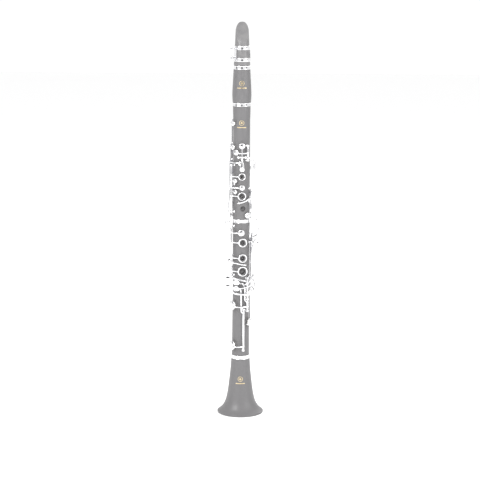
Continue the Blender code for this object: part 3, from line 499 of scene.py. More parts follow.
    def build(self, name):
        """The piece as an object with smooth faces and sharp creases."""
        mesh = bpy.data.meshes.new(name)
        mesh.from_pydata(self.points, [], self.faces)
        mesh.materials.append(FINISHES[self.finish].material)
        bm = bmesh.new()
        bm.from_mesh(mesh)
        bmesh.ops.recalc_face_normals(bm, faces=bm.faces)
        bm.to_mesh(mesh)
        bm.free()
        mesh.polygons.foreach_set("use_smooth", [True] * len(mesh.polygons))
        mesh.set_sharp_from_angle(angle=CREASE)
        made = bpy.data.objects.new(name, mesh)
        bpy.context.scene.collection.objects.link(made)
        return made


def carve(obj, cutters, operation="DIFFERENCE"):
    """Cuts the object with shapes, which don't stay."""
    for i, shape in enumerate(cutters):
        tool = shape.build(f"{obj.name}_tool_{i}")
        change = obj.modifiers.new("carve", "BOOLEAN")
        change.operation = operation
        change.solver = "EXACT"
        change.object = tool
        bpy.context.view_layer.update()
        graph = bpy.context.evaluated_depsgraph_get()
        mesh = bpy.data.meshes.new_from_object(obj.evaluated_get(graph))
        obj.modifiers.clear()
        old = obj.data
        obj.data = mesh
        bpy.data.meshes.remove(old)
        spare = tool.data
        bpy.data.objects.remove(tool, do_unlink=True)
        bpy.data.meshes.remove(spare)
    obj.data.polygons.foreach_set("use_smooth", [True] * len(obj.data.polygons))
    obj.data.set_sharp_from_angle(angle=CREASE)
    return obj


def settle(obj, node, stands_for=True):
    """The piece rides with the CAD node's body and, unless it is an extra, stands for the node."""
    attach(obj, NODES[node]["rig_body"])
    if stands_for:
        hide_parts(node)
    return obj


def settle_shape(shape, name, node, stands_for=True):
    return settle(shape.build(name), node, stands_for)


# Body sections


UPPER_PADS = [
    (180.0, 505.0, 4.4),
    (UPPER_LINE, 462.7, 5.0),
    (-31.0, 451.6, 4.7),
    (-57.0, 500.0, 4.4),
    (-57.0, 460.0, 4.4),
    (-5.0, 433.0, 4.0),
    (-36.0, 385.0, 3.9),
    (-36.0, 403.5, 4.0),
    (4.0, 392.4, 4.6),
    (112.0, 382.0, 4.0),
    (38.0, 344.9, 4.9),
]
UPPER_CHIMNEYS = [(UPPER_LINE, 411.0, 3.6), (UPPER_LINE, 378.0, 4.6), (180.0, 420.0, 4.1)]
THIRD_HOLE = (12.0, 356.0, 4.0)
LOWER_PADS = [
    (1.0, 315.7, 5.5),
    (-140.0, 263.0, 4.2),
    (72.0, 213.0, 5.2),
    (-50.0, 190.0, 8.2),
    (58.0, 160.0, 7.6),
    (-50.0, 120.0, 8.2),
]
LOWER_CHIMNEYS = [(LOWER_LINE, 298.6, 4.4), (LOWER_LINE, 272.0, 4.4), (LOWER_LINE, 249.4, 5.5)]
SOCKET_RADIUS = 11.9
TENON_RADIUS = 11.6
CORK_BED = 10.6
BORE_RADIUS = 7.4
BODY_STEPS = 96


def stepped(points, spacing=6.0):
    """The profile with long straight runs divided, so that cuts through it leave small faces."""
    made = []
    for a, b in zip(points, [*points[1:], points[0]]):
        count = max(1, round(math.dist(a, b) / spacing))
        made += [between(a, b, i / count) for i in range(count)]
    return made


def tenon(radius, bed, top, bottom, flange=2.3):
    return [(radius, top), (radius, top - flange), (bed, top - flange),
            (bed, bottom + flange), (radius, bottom + flange), (radius, bottom)]


def hole_cutter(angle, height, radius):
    shape = Shape("ebonite")
    shape.lathe([(0.0, 0.0), (radius, 0.0), (radius, 18.0), (0.0, 18.0)], facing(angle, 4.0, height), 40)
    return shape


def paint_bore_light(obj, reach):
    """Gives the faces nearer the axis than reach the bore finish, whose pale grey is painted light for the
    lit inside of the tone holes.
    """
    obj.data.materials.append(FINISHES["bore"].material)
    for face in obj.data.polygons:
        if math.hypot(face.center.x, face.center.y) < reach * MM:
            face.material_index = len(obj.data.materials) - 1


def build_joint(node, profile, pads, chimneys, plain_holes):
    """A joint of the body with its tone holes, their raised seats and the chimneys under the rings."""
    shape = Shape("ebonite")
    shape.lathe(stepped(eased(profile, 0.35, True)), None, BODY_STEPS, True)
    made = shape.build(node + "_turned")
    holes = [hole_cutter(angle, height, radius * 0.56) for angle, height, radius in pads]
    holes += [hole_cutter(angle, height, radius - 0.8) for angle, height, radius in chimneys]
    for angle, height, radius in plain_holes:
        holes.append(hole_cutter(angle, height, radius))
        flare = Shape("ebonite")
        inner = math.sqrt(body_radius(height) ** 2 - radius**2) - 0.5
        flare.lathe([(0.0, 0.0), (radius, 0.0), (radius + 1.8, 2.4), (0.0, 2.4)],
                    facing(angle, inner, height), 40)
        holes.append(flare)
    carve(made, holes)
    paint_bore_light(made, 9.3)
    settle(made, node)
    raised = Shape("ebonite")
    for angle, height, radius in pads:
        top = seat_top(height)
        outer, inner = radius * 0.78, radius * 0.52
        section = [(inner, 9.0), (outer + 0.5, 9.0),
                   (outer + 0.5, body_radius(height) - 0.3), (outer, top - 0.5),
                   (outer - 0.5, top), (inner + 0.3, top)]
        raised.lathe(eased(section, 0.3, True), facing(angle, 0.0, height), 40, True)
    for angle, height, radius in chimneys:
        inner = radius - 1.0
        section = [(inner, 9.0), (radius, 9.0), (radius, CHIMNEY_TOP), (inner, CHIMNEY_TOP)]
        raised.lathe(eased(section, 0.35, True), facing(angle, 0.0, height), 40, True)
    settle_shape(raised, node + "_tone_hole_seats", node, False)


def cork(node, bed, outer, top, bottom):
    """A sheet of tenon cork with its edges rounded and a slight swell."""
    low, high, inner = bottom + 2.3 + GAP, top - 2.3 - GAP, bed + GAP
    middle = (low + high) / 2
    profile = [(inner, high), (outer - 0.25, high), (outer, middle), (outer - 0.25, low), (inner, low)]
    shape = Shape("cork")
    shape.lathe(eased(profile, 0.4, True), None, 64, True)
    settle_shape(shape, node + "_sheet", node)


def metal_ring(node, inner, outer, top, bottom):
    """A turned silver band with a bead along each edge."""
    height = top - bottom
    lip = min(1.2, height * 0.2)
    profile = [(inner, top), (outer - 0.15, top), (outer - 0.05, top - lip * 0.5), (outer - 0.35, top - lip)]
    profile += [(outer - 0.35, bottom + lip), (outer - 0.05, bottom + lip * 0.5), (outer - 0.15, bottom)]
    profile += [(inner, bottom)]
    shape = Shape("silver")
    shape.lathe(eased(profile, 0.25, True), None, BODY_STEPS, True)
    settle_shape(shape, node + "_band", node)


BELL_FLARE = curve_through(
    [(16.1, 92.0), (17.3, 76.0), (19.5, 55.0), (22.4, 34.0), (26.2, 19.0), (31.5, 9.5), (38.0, 3.6)], 8
)
BARREL_BELLY = curve_through(
    [(14.15, 589.2), (14.4, 582.0), (15.45, 562.0), (16.05, 549.0), (15.8, 541.0), (15.3, 534.3)], 6
)


def build_bell():
    hollow = [(36.6, 0.0), (35.6, 3.2), (29.0, 9.6), (23.2, 19.5), (18.8, 35.0), (15.4, 55.0), (11.6, 83.7)]
    outer = [(14.3, 102.0), (14.3, 94.8), (16.0, 94.8)] + BELL_FLARE
    outer += eased([(38.0, 3.6), (39.2, 3.0), (39.3, 1.0), (38.6, 0.0), (36.6, 0.0)], 0.8)[1:-1]
    socket = [(13.1, 83.7), (13.1, 102.0)]
    shape = Shape("ebonite")
    shape.lathe([*outer, *curve_through(hollow, 6), *socket], None, 128, True)
    settle_shape(shape, "bell_turned", "bell")
    metal_ring("bell_ring", 14.6, 15.8, 101.9, 95.1)


def inlay(name, node, height, surface):
    """A plain gold ring round a dot, over a bar, let into a surface of (radius, height) points."""

    def spot(x, y, lift):
        level = height + y
        for (above, top), (below, bottom) in zip(surface, surface[1:]):
            if bottom <= level <= top:
                radius = below + (above - below) * (level - bottom) / (top - bottom)
        return at(math.degrees(x / radius), radius + lift, level)

    shape = Shape("gold")
    rings = []
    for k in range(72):
        turn = 2 * math.pi * k / 72
        section = ((4.4, -0.3), (4.4, 0.05), (3.5, 0.05), (3.5, -0.3))
        rings.append([spot(r * math.cos(turn), r * math.sin(turn), lift) for r, lift in section])
    shape.rings(rings, loop=True)
    rings = [[spot(0.0, 0.0, -0.3)]]
    for radius, lift in ((1.9, -0.3), (1.9, 0.05), (1.0, 0.05)):
        turns = [2 * math.pi * k / 32 for k in range(32)]
        rings.append([spot(radius * math.cos(t), radius * math.sin(t), lift) for t in turns])
    shape.rings([*rings, [spot(0.0, 0.0, 0.05)]])
    bar = [-8.0 + 16.0 * k / 24 for k in range(25)]
    section = ((-8.4, -0.3), (-8.4, 0.05), (-6.8, 0.05), (-6.8, -0.3))
    rings = [[spot(x, y, lift) for y, lift in section] for x in bar]
    ends = [[spot(x, -7.6, -0.12)] for x in (bar[0], bar[-1])]
    shape.rings([ends[0], *rings, ends[1]])
    settle_shape(shape, name, node, False)


def build_sections():
    build_bell()
    lower = [(SOCKET_RADIUS, 337.7), (13.1, 337.7), (13.1, 331.3), (14.7, 331.3),
             (14.7, 322.0), (14.2, 312.0)]
    lower += [(14.2, 200.0), (14.9, 110.0), (15.0, 102.3), *tenon(12.8, 11.8, 102.3, 84.2)]
    lower += [(10.2, 84.2), (BORE_RADIUS, 200.0), (BORE_RADIUS, 321.6), (SOCKET_RADIUS, 321.6)]
    build_joint("lower_joint", lower, LOWER_PADS, LOWER_CHIMNEYS, [])
    cork("bell_tenon_cork", 11.8, 12.8, 102.3, 84.2)
    metal_ring("lower_joint_ring", 13.4, 15.0, 337.6, 331.6)
    upper = [(BORE_RADIUS, 544.7), *tenon(TENON_RADIUS, CORK_BED, 544.7, 528.0), (14.7, 528.0), (14.7, 520.0)]
    upper += [(14.25, 505.0), (14.25, 338.0), *tenon(TENON_RADIUS, CORK_BED, 338.0, 322.0),
              (BORE_RADIUS, 322.0)]
    build_joint("upper_joint", upper, UPPER_PADS, UPPER_CHIMNEYS, [THIRD_HOLE])
    cork("middle_tenon_cork", CORK_BED, TENON_RADIUS, 338.0, 322.0)
    cork("top_tenon_cork", CORK_BED, TENON_RADIUS, 544.7, 528.0)
    profile = [(SOCKET_RADIUS, 596.0), (12.7, 596.0), (12.7, 589.2), *BARREL_BELLY, (13.3, 534.3)]
    profile += [(13.3, 528.3), (SOCKET_RADIUS, 528.3), (SOCKET_RADIUS, 545.0), (BORE_RADIUS, 545.0)]
    profile += [(BORE_RADIUS, 579.0), (SOCKET_RADIUS, 579.0)]
    shape = Shape("ebonite")
    shape.lathe(eased(profile, 0.3, True), None, BODY_STEPS, True)
    settle_shape(shape, "barrel_turned", "barrel")
    metal_ring("barrel_upper_ring", 13.0, 14.35, 595.9, 589.5)
    metal_ring("barrel_lower_ring", 13.6, 15.5, 534.0, 528.4)
    inlay("barrel_inlay", "barrel", 567.0, BARREL_BELLY)
    inlay("upper_joint_inlay", "upper_joint", 501.0, [(14.25, 510.0), (14.25, 480.0)])
    inlay("bell_inlay", "bell", 61.8, BELL_FLARE)


def mouthpiece_radius(height):
    return 13.4 - (height - 602.0) * 1.3 / 27.0


def block(size, where):
    """A plain cutting block, its middle at where."""
    x, y, z = (s / 2 for s in size)
    shape = Shape("gloss")
    rings = []
    for height in (-z, z):
        rings.append([where @ point(*p) for p in ((-x, -y, height), (x, -y, height), (x, y, height),
                                                         (-x, y, height))])
    shape.rings([[where @ point(0.0, 0.0, -z)], *rings, [where @ point(0.0, 0.0, z)]])
    return shape


def prism(outline, low, high):
    """A cutter with its outline in X and Z, from y = low to y = high."""
    shape = Shape("gloss")
    middle = [sum(p[i] for p in outline) / len(outline) for i in (0, 1)]
    rings = [[Vector((x, y, z)) * MM for x, z in outline] for y in (low, high)]
    ends = [[point(middle[0], y, middle[1])] for y in (low, high)]
    shape.rings([ends[0], *rings, ends[1]])
    return shape


def tip_outline(width, tip, shoulder, base, skirt=0.0):
    """The front outline of the beak: straight sides, wider by skirt, under a rounded tip."""
    points = [(width + skirt, base), (width + skirt, shoulder)]
    for i in range(1, 24):
        turn = math.pi * i / 24
        x = width * math.copysign(abs(math.cos(turn)) ** 0.75, math.cos(turn))
        points.append((x, shoulder + (tip - shoulder) * math.sin(turn) ** 0.9))
    return [*points, (-width - skirt, shoulder), (-width - skirt, base)]


def build_mouthpiece():
    tip = 668.0
    body = [(0.0, tip), (10.2, tip), (11.4, 645.0), (mouthpiece_radius(629.0), 629.0),
            (13.4, 602.0), (13.8, 598.6)]
    body += [(13.6, 596.3), *tenon(TENON_RADIUS, CORK_BED, 596.3, 579.3), (0.0, 579.3)]
    shape = Shape("gloss")
    shape.lathe(eased(body, 0.4), None, BODY_STEPS)
    made = shape.build("mouthpiece_turned")
    slope = math.atan2(21.5, 36.5)
    beak = move(0.0, 9.0, tip) @ Matrix.Rotation(-slope, 4, "X")
    bore = Shape("gloss")
    bore.lathe([(0.0, 570.0), (7.4, 570.0), (5.6, 634.0), (0.0, 634.0)], None, 48)
    window_frame = beak @ move(0.0, 12.8, -19.0)
    window = block((10.4, 20.0, 30.0), window_frame)
    cutters = [block((60.0, 60.0, 140.0), beak @ move(0.0, -30.0, 0.0))]
    cutters += [block((60.0, 40.0, 120.0), move(0.0, 30.2, 660.0)), bore, window]
    carve(made, cutters)
    carve(made, [prism(tip_outline(12.6, 667.95, 636.0, 570.0, 3.0), -30.0, 30.0)], "INTERSECT")
    settle(made, "mouthpiece")
    cork("mouthpiece_cork", CORK_BED, TENON_RADIUS, 596.3, 579.3)

    blade = [(0.0, 667.6), (12.2, 667.6), (12.1, 650.0)]
    blade += [(mouthpiece_radius(height) - 0.1, height) for height in (629.0, 601.5)]
    blade += [(0.0, 601.5)]
    shape = Shape("cane")
    shape.lathe(eased(blade, 0.4), None, BODY_STEPS)
    reed = shape.build("reed_cane")
    vamp = move(0.0, 11.0, tip) @ Matrix.Rotation(math.radians(3.4), 4, "X")
    around = [block((60.0, 60.0, 120.0), move(0.0, -19.5, 635.0))]
    around.append(block((60.0, 20.0, 84.0), vamp @ move(0.0, 10.0, 0.0)))
    carve(reed, around)
    carve(reed, [prism(tip_outline(6.35, 667.5, 661.0, 590.0), -30.0, 30.0)], "INTERSECT")
    settle(reed, "reed")


SCREW_X = -17.2
SCREW_HEIGHTS = (("upper", 624.6), ("lower", 608.6))


def build_ligature():
    """A sprung band with two rails, cut away over the front, and two thumb screws."""
    low_height, high_height = 602.6, 628.6
    low = mouthpiece_radius(low_height) + 0.35
    high = mouthpiece_radius(high_height) + 0.35
    wall = 0.7
    outer = []
    for height, lift in ((628.6, 0.0), (627.6, 0.22), (626.4, 0.0), (624.0, 0.0), (622.9, 0.18), (621.8, 0.0),
                         (609.0, 0.0), (607.9, 0.18), (606.8, 0.0), (604.8, 0.0),
                         (603.6, 0.22), (602.6, 0.0)):
        outer.append((mouthpiece_radius(height) + 0.35 + wall + lift - 0.1, height))
    shape = Shape("silver")
    shape.lathe(eased([(high, high_height), *outer, (low, low_height)], 0.25, True), None, BODY_STEPS, True)
    made = shape.build("ligature_band")
    window = prism([(-9.2, 608.7), (20.0, 608.7), (20.0, 621.7), (-9.2, 621.7)], -21.0, 2.6)
    slit = block((12.0, 1.4, 60.0), move(-16.0, 0.0, 615.0))
    carve(made, [window, slit])
    settle(made, "ligature")
    lugs = Shape("silver")
    for _, height in SCREW_HEIGHTS:
        for y in (-2.4, 2.4):
            start = point(SCREW_X, y - 1.5, height)
            end = point(SCREW_X, y + 1.5, height)
            lugs.tube(start, end, 2.7, 1.35, 0.35, 32)
            inner = mouthpiece_radius(height) + 0.6
            root = [Vector((-x, y, height)) * MM for x in (inner, (inner + 15.6) / 2, 15.6)]
            lugs.sweep(root, 5.2, 2.6)
    settle_shape(lugs, "ligature_lugs", "ligature", False)
    for label, height in SCREW_HEIGHTS:
        name = "ligature_screw_" + label
        centre = point(SCREW_X, 0.0, height)
        shape = Shape("silver")

        def spot(y):
            return centre + point(0.0, y, 0.0)

        thread = []
        for k in range(34):
            y = -4.2 + k * 10.4 / 33
            thread.append((1.02 if k % 2 else 0.88, y + 9.0))
        where = along(spot(-9.0), spot(0.0))
        shape.lathe([(0.0, 0.0), (0.9, 0.0), *thread, (0.6, 15.5), (0.0, 15.5)], where, 24)
        shape.lathe(eased([(0.0, 1.2), (1.5, 1.2), (2.0, 2.2), (2.0, 3.4), (1.6, 3.9),
                           (2.0, 4.4), (0.0, 4.4)], 0.3),
                    where, 32)
        swap_x_and_z = Matrix(((0, 0, 1, 0), (0, 1, 0, 0), (1, 0, 0, 0), (0, 0, 0, 1)))
        grip = Matrix.Translation(spot(-10.2)) @ swap_x_and_z
        shape.plate(grip, 6.6, 8.6, 1.9, crown=0.0, power=3.2)
        settle_shape(shape, name + "_turned", name)


def build_thumb_rest():
    height = 262.0
    inner = body_radius(height) + GAP + 0.1
    shape = Shape("silver")
    rings = []
    for z, lift in ((-11.0, 0.0), (-10.4, 0.6), (-9.0, 1.1), (0.0, 1.3), (9.0, 1.1),
                    (10.4, 0.6), (11.0, 0.0)):
        half = 5.0 - (0.9 if abs(z) > 10.5 else 0.3 if abs(z) > 10.0 else 0.0)
        outer = []
        under = []
        for k in range(13):
            x = -half + 2 * half * k / 12
            drop = inner - math.sqrt(inner**2 - x * x)
            edge = min(1.0, (half - abs(x)) / 0.8 + 0.35)
            outer.append(point(x, inner + 0.3 + lift * edge - drop, height + z))
            under.append(point(x, inner - drop, height + z))
        rings.append([*outer, *reversed(under)])
    ends = [[sum(ring, Vector()) / len(ring)] for ring in (rings[0], rings[-1])]
    shape.rings([ends[0], *rings, ends[1]])
    path = curve_through([tuple(point(*p)) for p in (
        (0.0, inner + 0.6, height + 2.4), (0.0, inner + 5.0, height + 2.5), (0.0, inner + 9.6, height + 2.3),
        (0.0, inner + 12.4, height + 0.9), (0.0, inner + 13.0, height - 1.7),
        (0.0, inner + 12.9, height - 3.0))], 6)
    shape.sweep(path, 9.4, 2.3, sides=24, squareness=4.5)
    for z in (-7.4, 8.0):
        start = point(0.0, inner + 1.2, height + z)
        shape.lathe(eased([(0.0, 0.0), (1.7, 0.0), (1.7, 0.5), (0.0, 0.9)], 0.25),
                    along(start, start + point(0.0, 1.0, 0.0)), 28)
    settle_shape(shape, "thumb_rest_cast", "thumb_rest")


# Keywork


def screw_head(shape, end, way, radius):
    """A slotted screw head whose flat face is at end, looking along way."""
    where = along(end, end + way.normalized() * MM)
    shape.lathe(eased([(0.0, -1.0), (radius, -1.0), (radius, -0.35), (0.0, -0.35)], 0.08), where, 24)
    for side in (1.0, -1.0):
        flat = radius * 0.16
        outline = []
        for k in range(13):
            turn = math.asin(0.16) + (math.pi - 2 * math.asin(0.16)) * k / 12
            outline.append((radius * math.cos(turn), side * radius * math.sin(turn)))
        middle = (0.0, side * (flat + radius) / 2)

        def ring(height, scale):
            return [where @ point(*between(middle, corner, scale), height) for corner in outline]

        tip = [where @ point(*middle, height) for height in (-0.4, 0.0)]
        shape.rings([[tip[0]], ring(-0.4, 1.0), ring(-0.1, 1.0), ring(0.0, 0.9), [tip[1]]])


def axle(node, rods, posts, saddle=None, rod_radius=ROD_RADIUS, head_radius=HEAD_RADIUS):
    """Hinge rods on turned posts: rods as (hinge, bottom, top), posts as (hinge, height)."""
    work = Shape("silver")
    for hinge, height in posts:
        foot = at(hinge[0], body_radius(height) - 0.4, height)
        reach = hinge[1] - body_radius(height) + 0.4
        profile = [(0.0, 0.0), (2.2, 0.0), (2.2, 0.75), (1.75, 1.15), (1.2, 1.7), (1.0, reach * 0.55)]
        profile += [(1.15, reach * 0.8), (1.3, reach), (0.0, reach)]
        work.lathe(eased(profile, 0.3), along(foot, at(*hinge, height)), 28)
        ball = []
        for k in range(-6, 7):
            z = HEAD_HALF * k / 6
            ball.append((math.sqrt(head_radius**2 - (z * 0.82) ** 2), z))
        low = [(rod_radius * 0.9, -HEAD_HALF), (head_radius * 0.72, -HEAD_HALF)]
        high = [(head_radius * 0.72, HEAD_HALF), (rod_radius * 0.9, HEAD_HALF)]
        frame_up = Matrix.Translation(at(*hinge, height))
        work.lathe(eased([*low, *ball, *high], 0.15, True), frame_up, 32, True)
    if saddle:
        work.arm([(*hinge, saddle) for hinge, _, _ in rods], 2.8, 2.2)
    settle_shape(work, node + "_posts", node)
    steel = Shape("steel")
    for hinge, bottom, top in rods:
        low, high = at(*hinge, bottom + 0.5), at(*hinge, top - 0.5)
        steel.tube(low, high, rod_radius - 0.15, 0.0, 0.1, 20)
        screw_head(steel, at(*hinge, bottom), Vector((0.0, 0.0, -1.0)), rod_radius)
        screw_head(steel, at(*hinge, top), Vector((0.0, 0.0, 1.0)), rod_radius)
    settle_shape(steel, node + "_rods", node, False)


def cross_axle(node, angle, distance, height, half_length, surface):
    """A hinge rod lying across the body between two posts."""
    work, steel = Shape("silver"), Shape("steel")
    middle = at(angle, distance, height)
    side, up = tangent(angle) * MM, radial(angle) * MM
    foot = math.sqrt(surface**2 - (half_length - 1.3) ** 2) - distance - 0.4
    for way in (-1.0, 1.0):
        head = middle + side * (way * half_length)
        profile = [(0.0, 0.0), (2.1, 0.0), (2.1, 0.7), (1.2, 1.5), (1.05, -foot * 0.6),
                   (1.3, -foot), (0.0, -foot)]
        work.lathe(eased(profile, 0.3), along(head + up * foot, head), 28)
        levels = [HEAD_HALF * k / 6 for k in range(-6, 7)]
        ball = [(math.sqrt(HEAD_RADIUS**2 - (z * 0.82) ** 2), z) for z in levels]
        ends = [(1.0, -HEAD_HALF), (1.73, -HEAD_HALF), *ball, (1.73, HEAD_HALF), (1.0, HEAD_HALF)]
        work.lathe(eased(ends, 0.15, True), along(head, head + side), 32, True)
        screw_head(steel, head + side * (way * (HEAD_HALF - 0.05)), side * way, ROD_RADIUS)
    reach = side * (half_length + HEAD_HALF - 0.6)
    steel.tube(middle - reach, middle + reach, 1.0, 0.0, 0.1, 20)
    settle_shape(work, node + "_posts", node)
    settle_shape(steel, node + "_rods", node, False)


def hinge_tube(shape, start, end, radius=TUBE_RADIUS, bore=1.2):
    """A key's hinge tube with a shoulder turned at each end."""
    length = (end - start).length / MM
    profile = [(bore, 0.0), (radius - 0.12, 0.0), (radius - 0.12, 0.7), (radius - 0.3, 0.85),
               (radius - 0.3, 1.05)]
    profile += [(radius - 0.08, 1.2)]
    top = [(r, length - z) for r, z in reversed(profile)]
    shape.lathe(eased([*profile, *top], 0.12, True, 2), along(start, end), 28, True)


def finger_ring(shape, angle, height, inner, outer):
    """A rounded ring round a chimney, dished a little on top."""
    t = RING_THICKNESS
    profile = [(inner, t * 0.72), (inner + 0.35, t * 0.94), ((inner + outer) / 2, t),
               (outer - 0.35, t * 0.92)]
    profile += [(outer, t * 0.55), (outer - 0.05, 0.15), (outer - 0.4, 0.0), (inner + 0.15, 0.0)]
    shape.lathe(curve_through(profile, 3, True), facing(angle, RING_FACE, height), 56, True)


def pad_cup(shape, angle, height, radius, base, node, name, pad_node=None):
    """A domed key cup on the shape, with its pad as a piece of its own."""
    where = facing(angle, base, height)
    top, ceiling = CUP_HEIGHT, PAD_SHOWING + 1.2
    dome = [(0.0, top), (radius * 0.18, top - 0.01), (radius * 0.42, top - 0.12), (radius * 0.66, top - 0.36)]
    dome += [(radius * 0.86, top - 0.75), (radius * 0.965, top - 1.15), (radius, top - 1.6)]
    wall = [(radius, PAD_SHOWING), (radius - CUP_WALL, PAD_SHOWING),
            (radius - CUP_WALL, ceiling), (0.0, ceiling)]
    shape.lathe([*curve_through(dome, 2), *eased(wall, 0.12, False, 2)], where, 44)
    pad = Shape("pad")
    edge = radius - CUP_WALL - 0.15
    ring_at = radius * 0.65
    face = [(edge, ceiling - 0.1), (edge, 0.55), (edge - 0.12, 0.25), (edge - 0.45, 0.05),
            (ring_at + 0.35, 0.0)]
    face += [(ring_at, 0.12), (ring_at - 0.35, 0.0), (ring_at * 0.4, 0.03), (0.0, 0.05)]
    pad.lathe([(0.0, ceiling - 0.1), *curve_through(face, 2)], where, 40)
    settle_shape(pad, name + "_pad_skin", pad_node or node, bool(pad_node))


def touch(shape, angle, distance, height, length, width, taper=0.0, lean=0.0, turn=0.0):
    """A finger plate that faces turn degrees further round than its place does."""
    frame = facing(angle, distance, height)
    frame = frame @ Matrix.Rotation(math.radians(turn), 4, "Y") @ Matrix.Rotation(math.radians(lean), 4, "Z")
    shape.plate(frame, length, width, TOUCH_THICKNESS, taper)


def upright_key(shape, node, hinge, bottom, top, radius=TUBE_RADIUS, bore=1.2):
    hinge_tube(shape, at(*hinge, bottom), at(*hinge, top), radius, bore)
    settle_shape(shape, node + "_made", node)


def cross_key(shape, node, hinge, half_length):
    side = tangent(hinge[0]) * (half_length * MM)
    hinge_tube(shape, at(*hinge) - side, at(*hinge) + side)
    settle_shape(shape, node + "_made", node)


def collar(shape, hinge, height, radius=TUBE_RADIUS):
    """A thickened band on a hinge tube where an arm leaves it."""
    frame_up = Matrix.Translation(at(*hinge, height))
    profile = [(radius - 0.2, -1.35), (radius + 0.32, -1.0), (radius + 0.32, 1.0), (radius - 0.2, 1.35)]
    shape.lathe(eased(profile, 0.35, True), frame_up, 28, True)


def needle(name, node, hinge, post, hook, swing):
    """A blued needle spring from its post to the key's hook beside the tube."""
    shape = Shape("blue")
    start = at(hinge[0], hinge[1] - 1.7, post)
    end = at(hinge[0] + swing, hinge[1] - 2.35, hook)
    middle = start.lerp(end, 0.5) - radial(hinge[0]) * (0.25 * MM)
    shape.sweep(curve_through([tuple(start), tuple(middle), tuple(end)], 5), 0.5, 0.5, sides=8, last=0.3)
    settle_shape(shape, name, node, False)


def across(angle, level, height, *offsets):
    """Stops of a straight run over a cup whose top lies at level."""
    return [(angle + off, level / math.cos(math.radians(off)), height) for off in offsets]


# Upper joint keywork


def side_keys():
    pads = {
        "eflat": (-36.0, 385.0, 3.9, [(-76.0, 17.4), (-66.0, 16.2), (-54.0, 16.1), (-40.0, 17.6)]),
        "fsharp": (-5.0, 433.0, 4.0, [(-80.0, 19.4), (-60.0, 19.0), (-40.0, 18.6), (-9.0, 18.4)]),
        "b": (-57.0, 460.0, 4.4, [(-98.0, 19.6), (-74.0, 19.3), (-58.0, 19.1)]),
        "c": (-57.0, 500.0, 4.4, [(-108.0, 19.6), (-74.0, 19.3), (-58.0, 19.1)]),
    }
    paddles = {
        "eflat": (346.0, [(-90.0, 23.4, 344.5), (-96.0, 26.5, 338.0)], (-98.0, 27.5, 327.0)),
        "fsharp": (346.0, [(-106.0, 22.8, 344.5), (-116.0, 24.5, 338.0)], (-120.0, 25.0, 327.0)),
        "b": (350.0, [(-117.0, 23.0, 351.0), (-126.0, 26.0, 353.0)], (-128.0, 26.5, 358.0)),
        "c": (350.0, [(-133.0, 23.0, 351.0), (-146.0, 24.0, 353.0)], (-149.0, 24.5, 358.0)),
    }
    tops = {"eflat": 388.2, "fsharp": 436.4, "b": 463.2, "c": 503.2}
    for note, hinge in SIDE.items():
        node = f"side_{note}_key"
        shape = Shape()
        angle, height, radius, path = pads[note]
        pad_cup(shape, angle, height, radius, seat_top(height) + GAP, node, node)
        level = height + 1.2 if note == "fsharp" else height
        shape.arm([(*stop, level) for stop in (hinge, *path)], 2.2, 1.5, 1.7)
        start, path, plate = paddles[note]
        shape.arm([(*hinge, start), *path, plate], 2.3, 1.7)
        touch(shape, *plate, 16.0, 7.0)
        upright_key(shape, node, hinge, 343.2, tops[note], SIDE_TUBE_RADIUS, 1.0)
    axle(
        "side_key_axles",
        [(hinge, 340.0, tops[note] + 3.2) for note, hinge in SIDE.items()],
        [(hinge, tops[note] + 1.9) for note, hinge in SIDE.items()]
        + [(SIDE["eflat"], 341.3), (SIDE["c"], 341.3)],
        saddle=341.3,
        rod_radius=SIDE_ROD_RADIUS,
        head_radius=2.0,
    )
    for note, hinge in SIDE.items():
        needle(f"side_{note}_spring", "side_key_axles", hinge, tops[note] + 1.0, tops[note] - 16.0, 2.0)


def register_key():
    shape = Shape()
    hinge = (180.0, 18.8, 462.0)
    shape.arm([(180.0, 19.9, 440.0), (180.0, 19.7, 448.0), hinge, (180.0, 18.6, 480.0), (180.0, 19.1, 505.0)],
              3.2, 2.0, 2.2)
    pad_cup(shape, 180.0, 505.0, 4.4, seat_top(505.0) + GAP, "register_key", "register_key")
    touch(shape, 180.0, 20.4, 438.2, 17.0, 8.4, taper=0.4)
    cross_key(shape, "register_key", hinge, 3.5)
    cross_axle("register_axle", *hinge, 5.4, body_radius(462.0))


def a_key():
    shape = Shape()
    hinge = (UPPER_LINE, 19.4, 444.0)
    shape.arm([(UPPER_LINE, 22.5, 429.0), (UPPER_LINE, 22.4, 437.0), (UPPER_LINE, 21.0, 441.0), hinge,
               (UPPER_LINE, 18.9, 454.0), (UPPER_LINE, 19.0, 462.7)], 3.0, 1.6, 2.0)
    pad_cup(shape, UPPER_LINE, 462.7, 5.0, seat_top(462.7) + GAP, "a_key", "a_key", "a_pad")
    touch(shape, UPPER_LINE, 22.7, 428.6, 17.0, 10.2, taper=0.62)
    cross_key(shape, "a_key", hinge, 4.1)
    cross_axle("a_axle", *hinge, 6.0, body_radius(444.0))


def gsharp_key():
    shape = Shape()
    stops = [(36.0, 18.2), (32.0, 20.9), (22.0, 22.2), (3.0, 22.4), (-16.0, 21.8), (-30.0, 19.3)]
    shape.arm([(*stop, 450.9) for stop in stops], 2.4, 1.7, 1.8)
    pad_cup(shape, -31.0, 451.6, 4.7, seat_top(451.6) + GAP, "gsharp_key", "gsharp_key")
    shape.arm([(*GSHARP, 443.0), (48.0, 20.6, 441.0), (60.0, 23.0, 436.0),
               (66.0, 23.6, 426.0)], 2.6, 1.8, 3.0)
    touch(shape, 66.0, 24.2, 424.0, 24.0, 5.6)
    collar(shape, GSHARP, 451.0)
    collar(shape, GSHARP, 443.0)
    upright_key(shape, "gsharp_key", GSHARP, 440.5, 460.9)
    axle("gsharp_axle", [(GSHARP, 437.5, 464.0)], [(GSHARP, 438.6), (GSHARP, 462.8)])
    needle("gsharp_spring", "gsharp_axle", GSHARP, 461.6, 447.0, -2.0)


